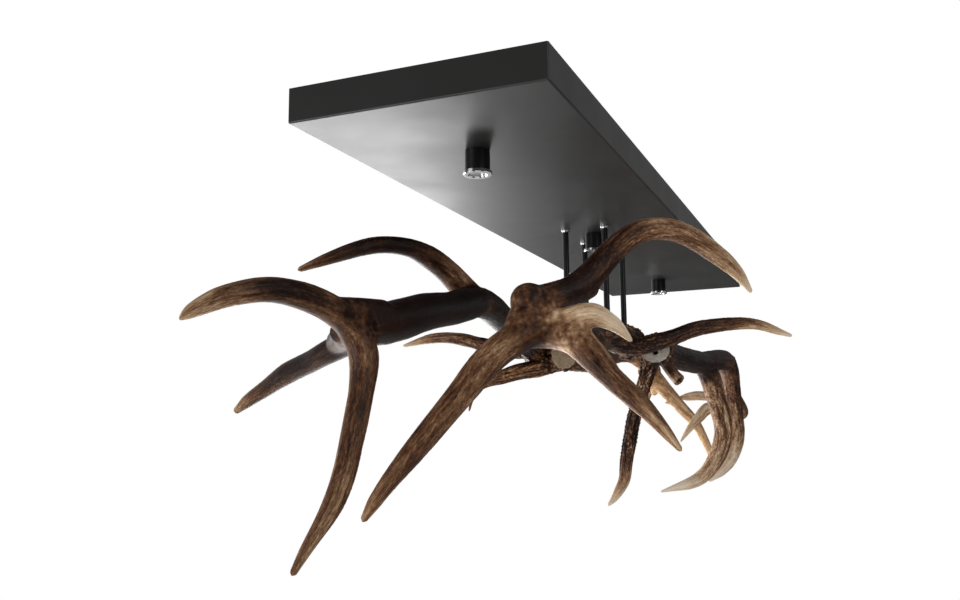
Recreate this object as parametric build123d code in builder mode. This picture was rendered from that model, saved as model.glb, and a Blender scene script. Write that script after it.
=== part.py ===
"""Antler chandelier: a long ceiling pan with three small spotlights and four red deer antlers on rods.

Millimetres. +Z is up and z = 0 is the ceiling, so everything hangs below it. +X runs along the pan
from its near end to its far end, +Y is the left side for someone who looks along +X.
"""

import os
from math import radians, sqrt, tan

from build123d import *

os.makedirs("parts", exist_ok=True)

# ---------------------------------------------------------------- driving dimensions
# Ceiling pan: a folded steel tray, open towards the ceiling
PAN_LENGTH = 1350.0
PAN_WIDTH = 300.0
PAN_HEIGHT = 40.0
SHEET = 1.5
PAN_CORNER_RADIUS = 2.0

# Ceiling brackets with shouldered studs, and the bridges inside the pan that hook onto them
BRACKET_INSET = 55.0
BRACKET_SPAN = 240.0
BRACKET_WIDTH = 40.0
BRACKET_THICKNESS = 3.0
CEILING_SCREW_PITCH = 200.0
CEILING_SCREW_HOLE = 6.0
STUD_PITCH = 140.0
STUD_SHANK = 7.0
STUD_HEAD = 14.0
STUD_HEAD_HEIGHT = 2.0
BRIDGE_TOP_GAP = 8.0
BRIDGE_SHEET = 2.0
BRIDGE_WIDTH = 54.0
BRIDGE_FOOT = 12.0
KEYHOLE_TRAVEL = 16.0
KEYHOLE_CLEARANCE = 0.4
LOCK_TAB_WIDTH = 24.0
LOCK_TAB_HEIGHT = 20.0
LOCK_TAB_GAP = 0.3
LOCK_SCREW = 4.0
LOCK_SCREW_HEAD = 8.0
LOCK_SCREW_HEAD_HEIGHT = 2.4
LOCK_SCREW_LENGTH = 10.0
LOCK_SCREW_DROP = 12.0

# Rods, in a rectangle round the middle of the pan
ROD_DIAMETER = 9.5
ROD_PITCH_X = 108.0
ROD_PITCH_Y = 66.0
LOAD_PLATE_LENGTH = 190.0
LOAD_PLATE_WIDTH = 130.0
LOAD_PLATE_THICKNESS = 3.0
WASHER_DIAMETER = 20.0
WASHER_THICKNESS = 1.6
NUT_FLATS = 15.0
NUT_HEIGHT = 7.0
ROD_END_ABOVE_NUT = 3.0
COLLAR_DIAMETER = 14.0
COLLAR_HEIGHT = 5.0
COLLAR_RIM = 2.0

# Antlers: how far the two hung beams lie below the pan, and the girth of each at its burr and crown
RIGHT_BEAM_DROP = 178.0
LEFT_BEAM_DROP = 207.0
ROD_PAST_BEAM_AXIS = 6.0
INSERT_DIAMETER = 12.0
INSERT_LENGTH = 28.0
SOCKET_END_GAP = 2.0
BEAM_CROWN_RADIUS = 21.5
CORONET_OVERHANG = 4.0
CORONET_HEIGHT = 12.0
CORONET_ROOT = 0.85
BURR_FACE_BULGE = 1.5
DOWEL_DIAMETER = 8.0
DOWEL_LENGTH = 54.0
RIGHT_DOWEL_X = 50.0
LEFT_DOWEL_X = -60.0
DOWEL_PITCH = 16.0
DOWEL_START = 9.0
DOWEL_DROP = 7.0
DRILLED_HOLE = 8.0
DRILLED_HOLE_DEPTH = 9.0
STUB_HOLE = 9.0
STUB_HOLE_DEPTH = 12.0

# Spotlights, on the centre line of the pan
SPOT_PITCH = 500.0
BARREL_DIAMETER = 30.0
SPOT_DROP = 30.0
BEZEL_DIAMETER = 35.0
BEZEL_HEIGHT = 4.0
BEZEL_THREAD_LENGTH = 7.5
BARREL_WALL = 2.5
BARREL_TOP = 5.0
BEZEL_WALL = 1.5
BEZEL_LIP = 1.2
BEZEL_LIP_HEIGHT = 2.0
GLASS_THICKNESS = 2.0
SLUG_HEIGHT = 8.0
BOARD_THICKNESS = 1.5
LED_DIAMETER = 8.0
LED_HEIGHT = 0.8
REFLECTOR_WALL = 0.6
NIPPLE_DIAMETER = 10.0
NIPPLE_BORE = 5.0
NIPPLE_LENGTH = 15.0
NIPPLE_NUT_FLATS = 14.0
NIPPLE_NUT_HEIGHT = 4.0

# Electrics inside the pan
DRIVER_LENGTH = 150.0
DRIVER_WIDTH = 42.0
DRIVER_HEIGHT = 22.0
DRIVER_X = -250.0
DRIVER_WALL_GAP = 65.0
DRIVER_EAR = 12.0
DRIVER_EAR_THICKNESS = 3.0
TERMINAL_LENGTH = 30.0
TERMINAL_WIDTH = 36.0
TERMINAL_HEIGHT = 16.0
TERMINAL_X = -400.0
TERMINAL_SCREW = 4.0
WELD_STUD = 4.0
WELD_STUD_LENGTH = 9.0
SMALL_NUT_FLATS = 7.0
SMALL_NUT_HEIGHT = 3.2
EARTH_STUD_X = -415.0
EARTH_STUD_Y = 30.0
EARTH_STUD_LENGTH = 12.0
EARTH_TAG = 9.0
EARTH_TAG_THICKNESS = 1.0
LEAD_DIAMETER = 4.0
LEAD_OUTLET_PITCH = 8.0
LEAD_STRAIGHT = 26.0
LEAD_PEAK_DEPTH = 11.5
LEAD_LOOP_REACH = 67.0
LEAD_LOOP_RISE = 38.0

# Clearances
HOLE_CLEARANCE = 0.25
SEAT_CLEARANCE = 0.05
THREAD_CLEARANCE = 0.03

# ---------------------------------------------------------------- levels and places
pan_floor_top = SHEET - PAN_HEIGHT
right_level = -PAN_HEIGHT - RIGHT_BEAM_DROP
left_level = -PAN_HEIGHT - LEFT_BEAM_DROP
spot_face = -PAN_HEIGHT - SPOT_DROP
barrel_end = spot_face + BEZEL_HEIGHT
rod_x = ROD_PITCH_X / 2
rod_y = ROD_PITCH_Y / 2
load_plate_top = pan_floor_top + LOAD_PLATE_THICKNESS
bracket_pitch = PAN_LENGTH - 2 * BRACKET_INSET
driver_y = PAN_WIDTH / 2 - DRIVER_WALL_GAP
rod_nut_bottom = load_plate_top + WASHER_THICKNESS
rod_top = rod_nut_bottom + NUT_HEIGHT + ROD_END_ABOVE_NUT
bridge_web_top = -BRIDGE_TOP_GAP
bridge_web_bottom = bridge_web_top - BRIDGE_SHEET
spot_places = {"near": -SPOT_PITCH, "middle": 0.0, "far": SPOT_PITCH}
rod_places = {
    "near_left": (-rod_x, rod_y, left_level),
    "near_right": (-rod_x, -rod_y, right_level),
    "far_right": (rod_x, -rod_y, right_level),
    "far_left": (rod_x, rod_y, left_level),
}
driver_ear_x = DRIVER_LENGTH / 2 + DRIVER_EAR / 2
weld_stud_places = [
    (DRIVER_X - driver_ear_x, driver_y, WELD_STUD_LENGTH),
    (DRIVER_X + driver_ear_x, driver_y, WELD_STUD_LENGTH),
    (EARTH_STUD_X, EARTH_STUD_Y, EARTH_STUD_LENGTH),
]


def save(solid, name):
    """Label a finished piece and write it to its own file."""
    solid.label = name
    export_step(solid, f"parts/{name}.step")


# ---------------------------------------------------------------- ceiling pan
with BuildPart() as ceiling_pan:
    with BuildSketch(Plane.XY.offset(-PAN_HEIGHT)):
        RectangleRounded(PAN_LENGTH, PAN_WIDTH, PAN_CORNER_RADIUS)
    extrude(amount=PAN_HEIGHT)
    fillet(ceiling_pan.faces().sort_by(Axis.Z)[0].edges(), PAN_CORNER_RADIUS)
    offset(amount=-SHEET, openings=ceiling_pan.faces().sort_by(Axis.Z)[-1])
    with Locations(*[(x, 0, -PAN_HEIGHT / 2) for x in spot_places.values()]):
        Hole(NIPPLE_DIAMETER / 2 + HOLE_CLEARANCE)
    with Locations(*[(x, y, -PAN_HEIGHT / 2) for x, y, level in rod_places.values()]):
        Hole(ROD_DIAMETER / 2 + HOLE_CLEARANCE)
    with BuildSketch(Plane.YZ.offset(PAN_LENGTH / 2)):
        with Locations((0, -LOCK_SCREW_DROP)):
            Circle(LOCK_SCREW / 2 + HOLE_CLEARANCE)
    extrude(amount=-2 * SHEET, mode=Mode.SUBTRACT)
save(ceiling_pan.part, "ceiling_pan")

# ---------------------------------------------------------------- ceiling brackets, studs and bridges
lock_tab_face = PAN_LENGTH / 2 - SHEET - LOCK_TAB_GAP
bracket_places = {"near": -bracket_pitch / 2, "far": bracket_pitch / 2}

for end, bracket_x in bracket_places.items():
    with BuildPart() as bracket:
        with BuildSketch(Plane.XY):
            with Locations((bracket_x, 0)):
                Rectangle(BRACKET_WIDTH, BRACKET_SPAN)
                with Locations((0, -CEILING_SCREW_PITCH / 2), (0, CEILING_SCREW_PITCH / 2)):
                    Circle(CEILING_SCREW_HOLE / 2, mode=Mode.SUBTRACT)
                with Locations((0, -STUD_PITCH / 2), (0, STUD_PITCH / 2)):
                    Circle(STUD_SHANK / 2 + SEAT_CLEARANCE, mode=Mode.SUBTRACT)
        extrude(amount=-BRACKET_THICKNESS)
        if end == "far":
            with BuildSketch(Plane.XY):
                with Locations((bracket_x, 0)):
                    Rectangle(lock_tab_face - bracket_x, LOCK_TAB_WIDTH, align=(Align.MIN, Align.CENTER))
            extrude(amount=-BRACKET_THICKNESS)
            with BuildSketch(Plane.YZ.offset(lock_tab_face)):
                Rectangle(LOCK_TAB_WIDTH, LOCK_TAB_HEIGHT, align=(Align.CENTER, Align.MAX))
                with Locations((0, -LOCK_SCREW_DROP)):
                    Circle(LOCK_SCREW / 2 + THREAD_CLEARANCE, mode=Mode.SUBTRACT)
            extrude(amount=-BRACKET_THICKNESS)
    save(bracket.part, f"ceiling_bracket_{end}")

    with BuildPart() as studs:
        with Locations((bracket_x, -STUD_PITCH / 2, 0), (bracket_x, STUD_PITCH / 2, 0)):
            Cylinder(STUD_SHANK / 2, -bridge_web_bottom, align=(Align.CENTER, Align.CENTER, Align.MAX))
        with Locations(
            (bracket_x, -STUD_PITCH / 2, bridge_web_bottom), (bracket_x, STUD_PITCH / 2, bridge_web_bottom)
        ):
            Cylinder(STUD_HEAD / 2, STUD_HEAD_HEIGHT, align=(Align.CENTER, Align.CENTER, Align.MAX))
    save(studs.part, f"shouldered_studs_{end}")

    bridge_length = PAN_WIDTH - 2 * SHEET - 2 * HOLE_CLEARANCE
    with BuildPart() as bridge:
        with BuildSketch(Plane.XZ.offset(-bridge_length / 2)):
            with BuildLine():
                half_width = BRIDGE_WIDTH / 2
                foot_end = half_width + BRIDGE_FOOT
                inner = half_width - BRIDGE_SHEET
                foot_top = pan_floor_top + BRIDGE_SHEET
                Polyline(
                    (bracket_x - foot_end, pan_floor_top),
                    (bracket_x - inner, pan_floor_top),
                    (bracket_x - inner, bridge_web_bottom),
                    (bracket_x + inner, bridge_web_bottom),
                    (bracket_x + inner, pan_floor_top),
                    (bracket_x + foot_end, pan_floor_top),
                    (bracket_x + foot_end, foot_top),
                    (bracket_x + half_width, foot_top),
                    (bracket_x + half_width, bridge_web_top),
                    (bracket_x - half_width, bridge_web_top),
                    (bracket_x - half_width, foot_top),
                    (bracket_x - foot_end, foot_top),
                    close=True,
                )
            make_face()
        extrude(amount=bridge_length)
        with BuildSketch(Plane.XY.offset(bridge_web_top)):
            for side in (-1, 1):
                stud_y = side * STUD_PITCH / 2
                slot_width = STUD_SHANK + 2 * KEYHOLE_CLEARANCE
                with Locations((bracket_x - KEYHOLE_TRAVEL / 2, stud_y)):
                    SlotCenterToCenter(KEYHOLE_TRAVEL, slot_width)
                with Locations((bracket_x - KEYHOLE_TRAVEL, stud_y)):
                    Circle(STUD_HEAD / 2 + KEYHOLE_CLEARANCE)
        extrude(amount=-BRIDGE_SHEET, mode=Mode.SUBTRACT)
        # the welded feet are cut back where they would meet the rounded fold at the pan's side
        with BuildSketch(Plane.YZ.offset(bracket_x - foot_end)):
            for side in (-1, 1):
                with Locations((side * bridge_length / 2, pan_floor_top)):
                    Rectangle(2 * PAN_CORNER_RADIUS, 2 * PAN_CORNER_RADIUS)
        extrude(amount=2 * foot_end, mode=Mode.SUBTRACT)
    save(bridge.part, f"pan_bridge_{end}")

with BuildPart() as lock_screw:
    with BuildSketch(Plane.YZ.offset(PAN_LENGTH / 2)):
        with Locations((0, -LOCK_SCREW_DROP)):
            Circle(LOCK_SCREW_HEAD / 2)
    extrude(amount=LOCK_SCREW_HEAD_HEIGHT)
    fillet(lock_screw.faces().sort_by(Axis.X)[-1].edges(), LOCK_SCREW_HEAD_HEIGHT / 2)
    with BuildSketch(Plane.YZ.offset(PAN_LENGTH / 2)):
        with Locations((0, -LOCK_SCREW_DROP)):
            Circle(LOCK_SCREW / 2)
    extrude(amount=-LOCK_SCREW_LENGTH)
    with BuildSketch(Plane.YZ.offset(PAN_LENGTH / 2 + LOCK_SCREW_HEAD_HEIGHT)):
        with Locations((0, -LOCK_SCREW_DROP)):
            Rectangle(LOCK_SCREW_HEAD * 0.6, LOCK_SCREW_HEAD_HEIGHT / 3)
            Rectangle(LOCK_SCREW_HEAD_HEIGHT / 3, LOCK_SCREW_HEAD * 0.6)
    extrude(amount=-LOCK_SCREW_HEAD_HEIGHT / 2, mode=Mode.SUBTRACT)
save(lock_screw.part, "pan_lock_screw")

# ---------------------------------------------------------------- rods and what clamps them to the pan
with BuildPart() as load_plate:
    with BuildSketch(Plane.XY.offset(pan_floor_top)):
        RectangleRounded(LOAD_PLATE_LENGTH, LOAD_PLATE_WIDTH, PAN_CORNER_RADIUS)
        with GridLocations(ROD_PITCH_X, ROD_PITCH_Y, 2, 2):
            Circle(ROD_DIAMETER / 2 + HOLE_CLEARANCE, mode=Mode.SUBTRACT)
        Circle(NIPPLE_DIAMETER / 2 + HOLE_CLEARANCE, mode=Mode.SUBTRACT)
    extrude(amount=LOAD_PLATE_THICKNESS)
save(load_plate.part, "load_plate")

with BuildPart() as rod_washers:
    with BuildSketch(Plane.XY.offset(load_plate_top)):
        with GridLocations(ROD_PITCH_X, ROD_PITCH_Y, 2, 2):
            Circle(WASHER_DIAMETER / 2)
            Circle(ROD_DIAMETER / 2 + HOLE_CLEARANCE, mode=Mode.SUBTRACT)
    extrude(amount=WASHER_THICKNESS)
save(rod_washers.part, "rod_washers")

with BuildPart() as rod_nuts:
    with BuildSketch(Plane.XY.offset(rod_nut_bottom)):
        with GridLocations(ROD_PITCH_X, ROD_PITCH_Y, 2, 2):
            RegularPolygon(NUT_FLATS / 2, 6, major_radius=False)
            Circle(ROD_DIAMETER / 2 + THREAD_CLEARANCE, mode=Mode.SUBTRACT)
    extrude(amount=NUT_HEIGHT)
save(rod_nuts.part, "rod_nuts")

for corner, (x, y, level) in rod_places.items():
    rod_end = level - ROD_PAST_BEAM_AXIS
    with BuildPart() as rod:
        with BuildSketch(Plane.XY.offset(rod_end)):
            with Locations((x, y)):
                Circle(ROD_DIAMETER / 2)
        extrude(amount=rod_top - rod_end)
        chamfer(rod.faces().filter_by(Axis.Z).edges(), ROD_DIAMETER / 12)
    save(rod.part, f"rod_{corner}")

    bore_radius = ROD_DIAMETER / 2 + THREAD_CLEARANCE
    collar_neck = (bore_radius + COLLAR_DIAMETER / 2) / 2
    with BuildPart() as collar:
        with BuildSketch(Plane(origin=(x, y, -PAN_HEIGHT), x_dir=(1, 0, 0), z_dir=(0, -1, 0))):
            with BuildLine():
                rim_line = Polyline(
                    (collar_neck, -COLLAR_HEIGHT),
                    (bore_radius, -COLLAR_HEIGHT),
                    (bore_radius, 0),
                    (COLLAR_DIAMETER / 2, 0),
                    (COLLAR_DIAMETER / 2, -COLLAR_RIM),
                )
                RadiusArc(rim_line @ 1, rim_line @ 0, -1.5 * COLLAR_HEIGHT)
            make_face()
        revolve(axis=Axis((x, y, 0), (0, 0, 1)))
    save(collar.part, f"rod_collar_{corner}")

with BuildPart() as rod_inserts:
    for x, y, level in rod_places.values():
        with BuildSketch(Plane.XY.offset(level - ROD_PAST_BEAM_AXIS)):
            with Locations((x, y)):
                Circle(INSERT_DIAMETER / 2)
                Circle(ROD_DIAMETER / 2 + THREAD_CLEARANCE, mode=Mode.SUBTRACT)
        extrude(amount=INSERT_LENGTH)
save(rod_inserts.part, "rod_inserts")

# ---------------------------------------------------------------- antlers
# The points of each antler are measured from the middle between the two rods that its pair hangs on,
# at the level of the hung beam's axis. A beam starts at its burr, where it was shed or sawn off, and
# ends at its crown. A tine starts inside the beam. "girth" is its radius there, and "taper" is the
# share of it that is lost on the way to the tip.
antlers = {
    "near_right": {
        "origin": (0, -rod_y, right_level),
        "burr_radius": 28.0,
        "beam": [
            (82, 0, 1), (50, 0, 0), (0, 0, 0), (-60, 0, -3), (-180, -10, -13),
            (-355, -35, -21), (-510, -60, -29), (-600, -75, -34),
        ],
        "tines": [
            {"girth": 14.5, "taper": 0.2, "path": [
                (-15, -5, -10), (-2, -37, -16), (18, -71, -3), (43, -114, 10),
                (64, -157, 20), (88, -207, 22), (115, -265, 2)]},
            {"girth": 18.0, "taper": 0.35, "path": [
                (-600, -75, -34), (-640, -61, -63), (-668, -33, -102), (-698, 2, -159), (-740, 47, -235)]},
            {"girth": 17.5, "taper": 0.45, "path": [
                (-600, -75, -34), (-621, -136, -90), (-622, -172, -124), (-621, -218, -175)]},
            {"girth": 14.0, "taper": 0.35, "path": [
                (-598, -75, -38), (-611, -110, -44), (-613, -134, -42),
                (-604, -155, -53), (-594, -169, -69)]},
            {"girth": 18.0, "taper": 0.35, "path": [
                (-600, -75, -34), (-563, -110, -8), (-549, -125, 13), (-529, -162, 50),
                (-506, -198, 56), (-482, -235, 34), (-459, -270, -9)]},
            {"girth": 19.5, "taper": 0.3, "path": [(-585, -73, -33), (-610, -70, -28), (-636, -66, -22)]},
        ],
    },
    "near_left": {
        "origin": (0, rod_y, left_level),
        "burr_radius": 26.0,
        "beam": [
            (-25, 58, 4), (-60, 54, 9), (-102, 50, 14), (-189, 41, 28), (-275, 30, 42),
            (-385, 20, 40), (-515, 10, 15), (-608, 7, -8), (-685, 12, -18),
        ],
        "tines": [
            {"girth": 12.0, "taper": 0.25, "path": [
                (-70, 52, 10), (-82, 90, 21), (-91, 134, 24),
                (-102, 183, 32), (-107, 223, 32), (-115, 271, 24)]},
            {"girth": 15.5, "taper": 0.4, "path": [
                (-384, 20, 40), (-405, 31, 63), (-428, 40, 81),
                (-485, 63, 99), (-542, 95, 94), (-597, 148, 62)]},
            {"girth": 17.0, "taper": 0.35, "path": [
                (-672, 11, -16), (-723, 18, -9), (-761, 30, -4),
                (-820, 51, -2), (-850, 72, -13), (-864, 89, -31)]},
            {"girth": 16.5, "taper": 0.3, "path": [
                (-676, 11, -20), (-692, 12, -78), (-714, 11, -139), (-740, 15, -193), (-775, 31, -252)]},
            {"girth": 15.5, "taper": 0.35, "path": [
                (-672, 14, -22), (-639, 94, -44), (-611, 166, -64), (-592, 237, -99)]},
        ],
    },
    "far_right": {
        "origin": (0, -rod_y, right_level),
        "burr_radius": 26.0,
        "beam": [
            (37, -56, -22), (75, -55, -20), (148, -60, -20),
            (242, -74, -21), (338, -93, -18), (433, -112, -16),
        ],
        "tines": [
            {"girth": 13.0, "taper": 0.2, "path": [
                (58, -52, -25), (56, -38, -55), (52, -23, -100),
                (48, -4, -180), (42, 12, -247), (31, 31, -271)]},
            {"girth": 20.0, "taper": 0.3, "path": [
                (325, -90, -18), (355, -97, -77), (380, -107, -138), (390, -97, -192),
                (382, -64, -240), (340, 10, -265)]},
            {"girth": 19.5, "taper": 0.35, "path": [
                (425, -110, -16), (471, -115, -68), (489, -119, -147), (482, -99, -210), (441, -35, -258)]},
            {"girth": 17.0, "taper": 0.3, "path": [
                (415, -107, -17), (500, -116, -42), (558, -116, -84), (586, -98, -103),
                (583, -65, -101), (559, -30, -114), (529, 7, -170)]},
            {"girth": 12.0, "taper": 0.25, "path": [
                (584, -99, -102), (623, -67, -84), (640, -32, -69), (646, 18, -72), (645, 57, -82)]},
        ],
        "stub": {"girth": 10.0, "taper": 0.15, "path": [(98, -54, -25), (101, -68, -52), (100, -82, -70)]},
        "drilled": (0, 6, 1),
    },
    "far_left": {
        "origin": (0, rod_y, left_level),
        "burr_radius": 23.5,
        "beam": [(-78, 0, -3), (0, 0, 0), (60, 0, 2), (223, 2, 25), (438, 7, 39), (590, 7, 17)],
        "tines": [
            {"girth": 12.5, "taper": 0.2, "path": [
                (-40, 3, -5), (-60, 25, -24), (-78, 58, -28), (-93, 104, -36),
                (-97, 127, -45), (-95, 142, -59), (-88, 160, -89)]},
            {"girth": 16.5, "taper": 0.3, "path": [
                (578, 7, 18), (601, -6, -12), (620, -45, -59), (634, -83, -113), (643, -107, -171),
                (650, -123, -215)]},
            {"girth": 17.0, "taper": 0.35, "path": [
                (574, 6, 18), (617, 20, -10), (649, 35, -40), (666, 57, -72), (675, 94, -117)]},
        ],
    },
}

TIP_RADIUS = 2.0
BEAM_SECTIONS = 11
TINE_SECTIONS = 15
# sections stand closer together where the shape changes fastest: at a burr and at a tip
beam_stations = [(step / (BEAM_SECTIONS - 1)) ** 1.3 for step in range(BEAM_SECTIONS)]
tine_stations = [1 - (1 - step / (TINE_SECTIONS - 1)) ** 1.5 for step in range(TINE_SECTIONS)]


def shifted(points, origin):
    """Move an antler's points to where its pair of rods holds it."""
    return [Vector(*point) + Vector(*origin) for point in points]


def sections_along(points, stations, radius_at):
    """Round sections square to a spline through the points, carried along it without twist."""
    path = Edge.make_spline(points)
    across = (path % 0).cross(Vector(0, 0, 1)).normalized()
    sections = []
    for station in stations:
        heading = path % station
        across = (across - heading * across.dot(heading)).normalized()
        plane = Plane(origin=path @ station, x_dir=across, z_dir=heading)
        sections.append(plane * Circle(radius_at(station)))
    return sections


def beam_radius(burr_radius, station):
    """A beam swells towards its burr, most of all in its last tenth."""
    return BEAM_CROWN_RADIUS + (burr_radius - BEAM_CROWN_RADIUS) * (1 - station) ** 4


def tine_radius(tine, station):
    """A tine loses girth slowly, then rounds off to its point."""
    return max(TIP_RADIUS, tine["girth"] * (1 - tine["taper"] * station) * sqrt(1 - station**5))


def stub_radius(stub, station):
    """A stub is cut off square, so it only tapers."""
    return stub["girth"] * (1 - stub["taper"] * station)


def bore_between(start, end, radius):
    """A round hole from one point to another."""
    axis = end - start
    return Plane(origin=start, z_dir=axis) * Cylinder(
        radius, axis.length, align=(Align.CENTER, Align.CENTER, Align.MIN)
    )


dowel_places = []
for side, first_x, dowel_z in (
    (-1, RIGHT_DOWEL_X, right_level - DOWEL_DROP),
    (1, LEFT_DOWEL_X, left_level + DOWEL_DROP / 2),
):
    for dowel_x in (first_x, first_x + DOWEL_PITCH):
        start = Vector(dowel_x, side * (rod_y + DOWEL_START), dowel_z)
        dowel_places.append((start, start + Vector(0, side * DOWEL_LENGTH, 0)))

dowels = [bore_between(start, end, DOWEL_DIAMETER / 2) for start, end in dowel_places]
dowel_holes = [bore_between(start, end, DOWEL_DIAMETER / 2 + SEAT_CLEARANCE) for start, end in dowel_places]
socket_holes = [
    bore_between(
        Vector(x, y, level - ROD_PAST_BEAM_AXIS - SOCKET_END_GAP),
        Vector(x, y, level + 2 * BEAM_CROWN_RADIUS),
        INSERT_DIAMETER / 2 + SEAT_CLEARANCE,
    )
    for x, y, level in rod_places.values()
]

for name, antler in antlers.items():
    origin = antler["origin"]
    burr_radius = antler["burr_radius"]
    beam_points = shifted(antler["beam"], origin)
    beam_sections = sections_along(beam_points, beam_stations, lambda at: beam_radius(burr_radius, at))
    tine_sections = [
        sections_along(shifted(tine["path"], origin), tine_stations, lambda at: tine_radius(tine, at))
        for tine in antler["tines"]
    ]
    stub_sections = []
    stub_holes = []
    if "stub" in antler:
        stub_points = shifted(antler["stub"]["path"], origin)
        stub_sections = sections_along(stub_points, [0, 0.5, 1], lambda at: stub_radius(antler["stub"], at))
        stub_heading = (stub_points[-1] - stub_points[-2]).normalized()
        stub_hole_end = stub_points[-1] - stub_heading * STUB_HOLE_DEPTH
        stub_holes.append(bore_between(stub_hole_end, stub_points[-1] + stub_heading, STUB_HOLE / 2))

    burr_heading = (Edge.make_spline(beam_points) % 0).normalized()
    burr_side = burr_heading.cross(Vector(0, 0, 1)).normalized()
    burr_profile = Plane(origin=beam_points[0], x_dir=burr_heading, z_dir=burr_side)
    drilled_holes = []
    if "drilled" in antler:
        drill_mouth = beam_points[0] + Vector(*antler["drilled"])
        drill_start = drill_mouth - burr_heading * 2 * BURR_FACE_BULGE
        drill_end = drill_mouth + burr_heading * DRILLED_HOLE_DEPTH
        drilled_holes.append(bore_between(drill_start, drill_end, DRILLED_HOLE / 2))

    with BuildPart() as antler_part:
        loft(sections=beam_sections)
        if stub_sections:
            loft(sections=stub_sections)
            add(stub_holes, mode=Mode.SUBTRACT)
        for sections in tine_sections:
            loft(sections=sections)
        with BuildSketch(burr_profile):
            with BuildLine():
                burr_line = Polyline(
                    (-BURR_FACE_BULGE, CORONET_ROOT * burr_radius),
                    (-BURR_FACE_BULGE, 0),
                    (CORONET_HEIGHT, 0),
                    (CORONET_HEIGHT, CORONET_ROOT * burr_radius),
                )
                coronet_crest = (CORONET_HEIGHT / 2 - BURR_FACE_BULGE, burr_radius + CORONET_OVERHANG)
                ThreePointArc(burr_line @ 1, coronet_crest, burr_line @ 0)
            make_face()
        revolve(axis=Axis(burr_profile.origin, burr_profile.x_dir))
        for hole in dowel_holes + socket_holes + drilled_holes:
            add(hole, mode=Mode.SUBTRACT)
    save(antler_part.part, f"antler_{name}")

with BuildPart() as cross_dowels:
    add(dowels)
save(cross_dowels.part, "cross_dowels")

# ---------------------------------------------------------------- spotlights
barrel_bore = BARREL_DIAMETER / 2 - BARREL_WALL
spigot_radius = barrel_bore + BEZEL_WALL / 2
bezel_bore = spigot_radius - BEZEL_WALL
lip_radius = bezel_bore - BEZEL_LIP
spigot_top = barrel_end + BEZEL_THREAD_LENGTH
glass_bottom = spot_face + BEZEL_LIP_HEIGHT
glass_top = glass_bottom + GLASS_THICKNESS
barrel_ceiling = -PAN_HEIGHT - BARREL_TOP
slug_bottom = barrel_ceiling - SLUG_HEIGHT
board_bottom = slug_bottom - BOARD_THICKNESS
reflector_bottom = glass_top + HOLE_CLEARANCE
reflector_radius = bezel_bore - HOLE_CLEARANCE
reflector_neck = LED_DIAMETER / 2 + REFLECTOR_WALL + HOLE_CLEARANCE
nipple_top = NIPPLE_LENGTH - PAN_HEIGHT


def round_piece(x, outline):
    """A turned piece about the vertical line at x, from its half outline of (radius, height) points."""
    with BuildPart() as turned:
        with BuildSketch(Plane(origin=(x, 0, 0), x_dir=(1, 0, 0), z_dir=(0, -1, 0))):
            with BuildLine():
                Polyline(*outline, close=True)
            make_face()
        revolve(axis=Axis((x, 0, 0), (0, 0, 1)))
    return turned.part


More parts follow.
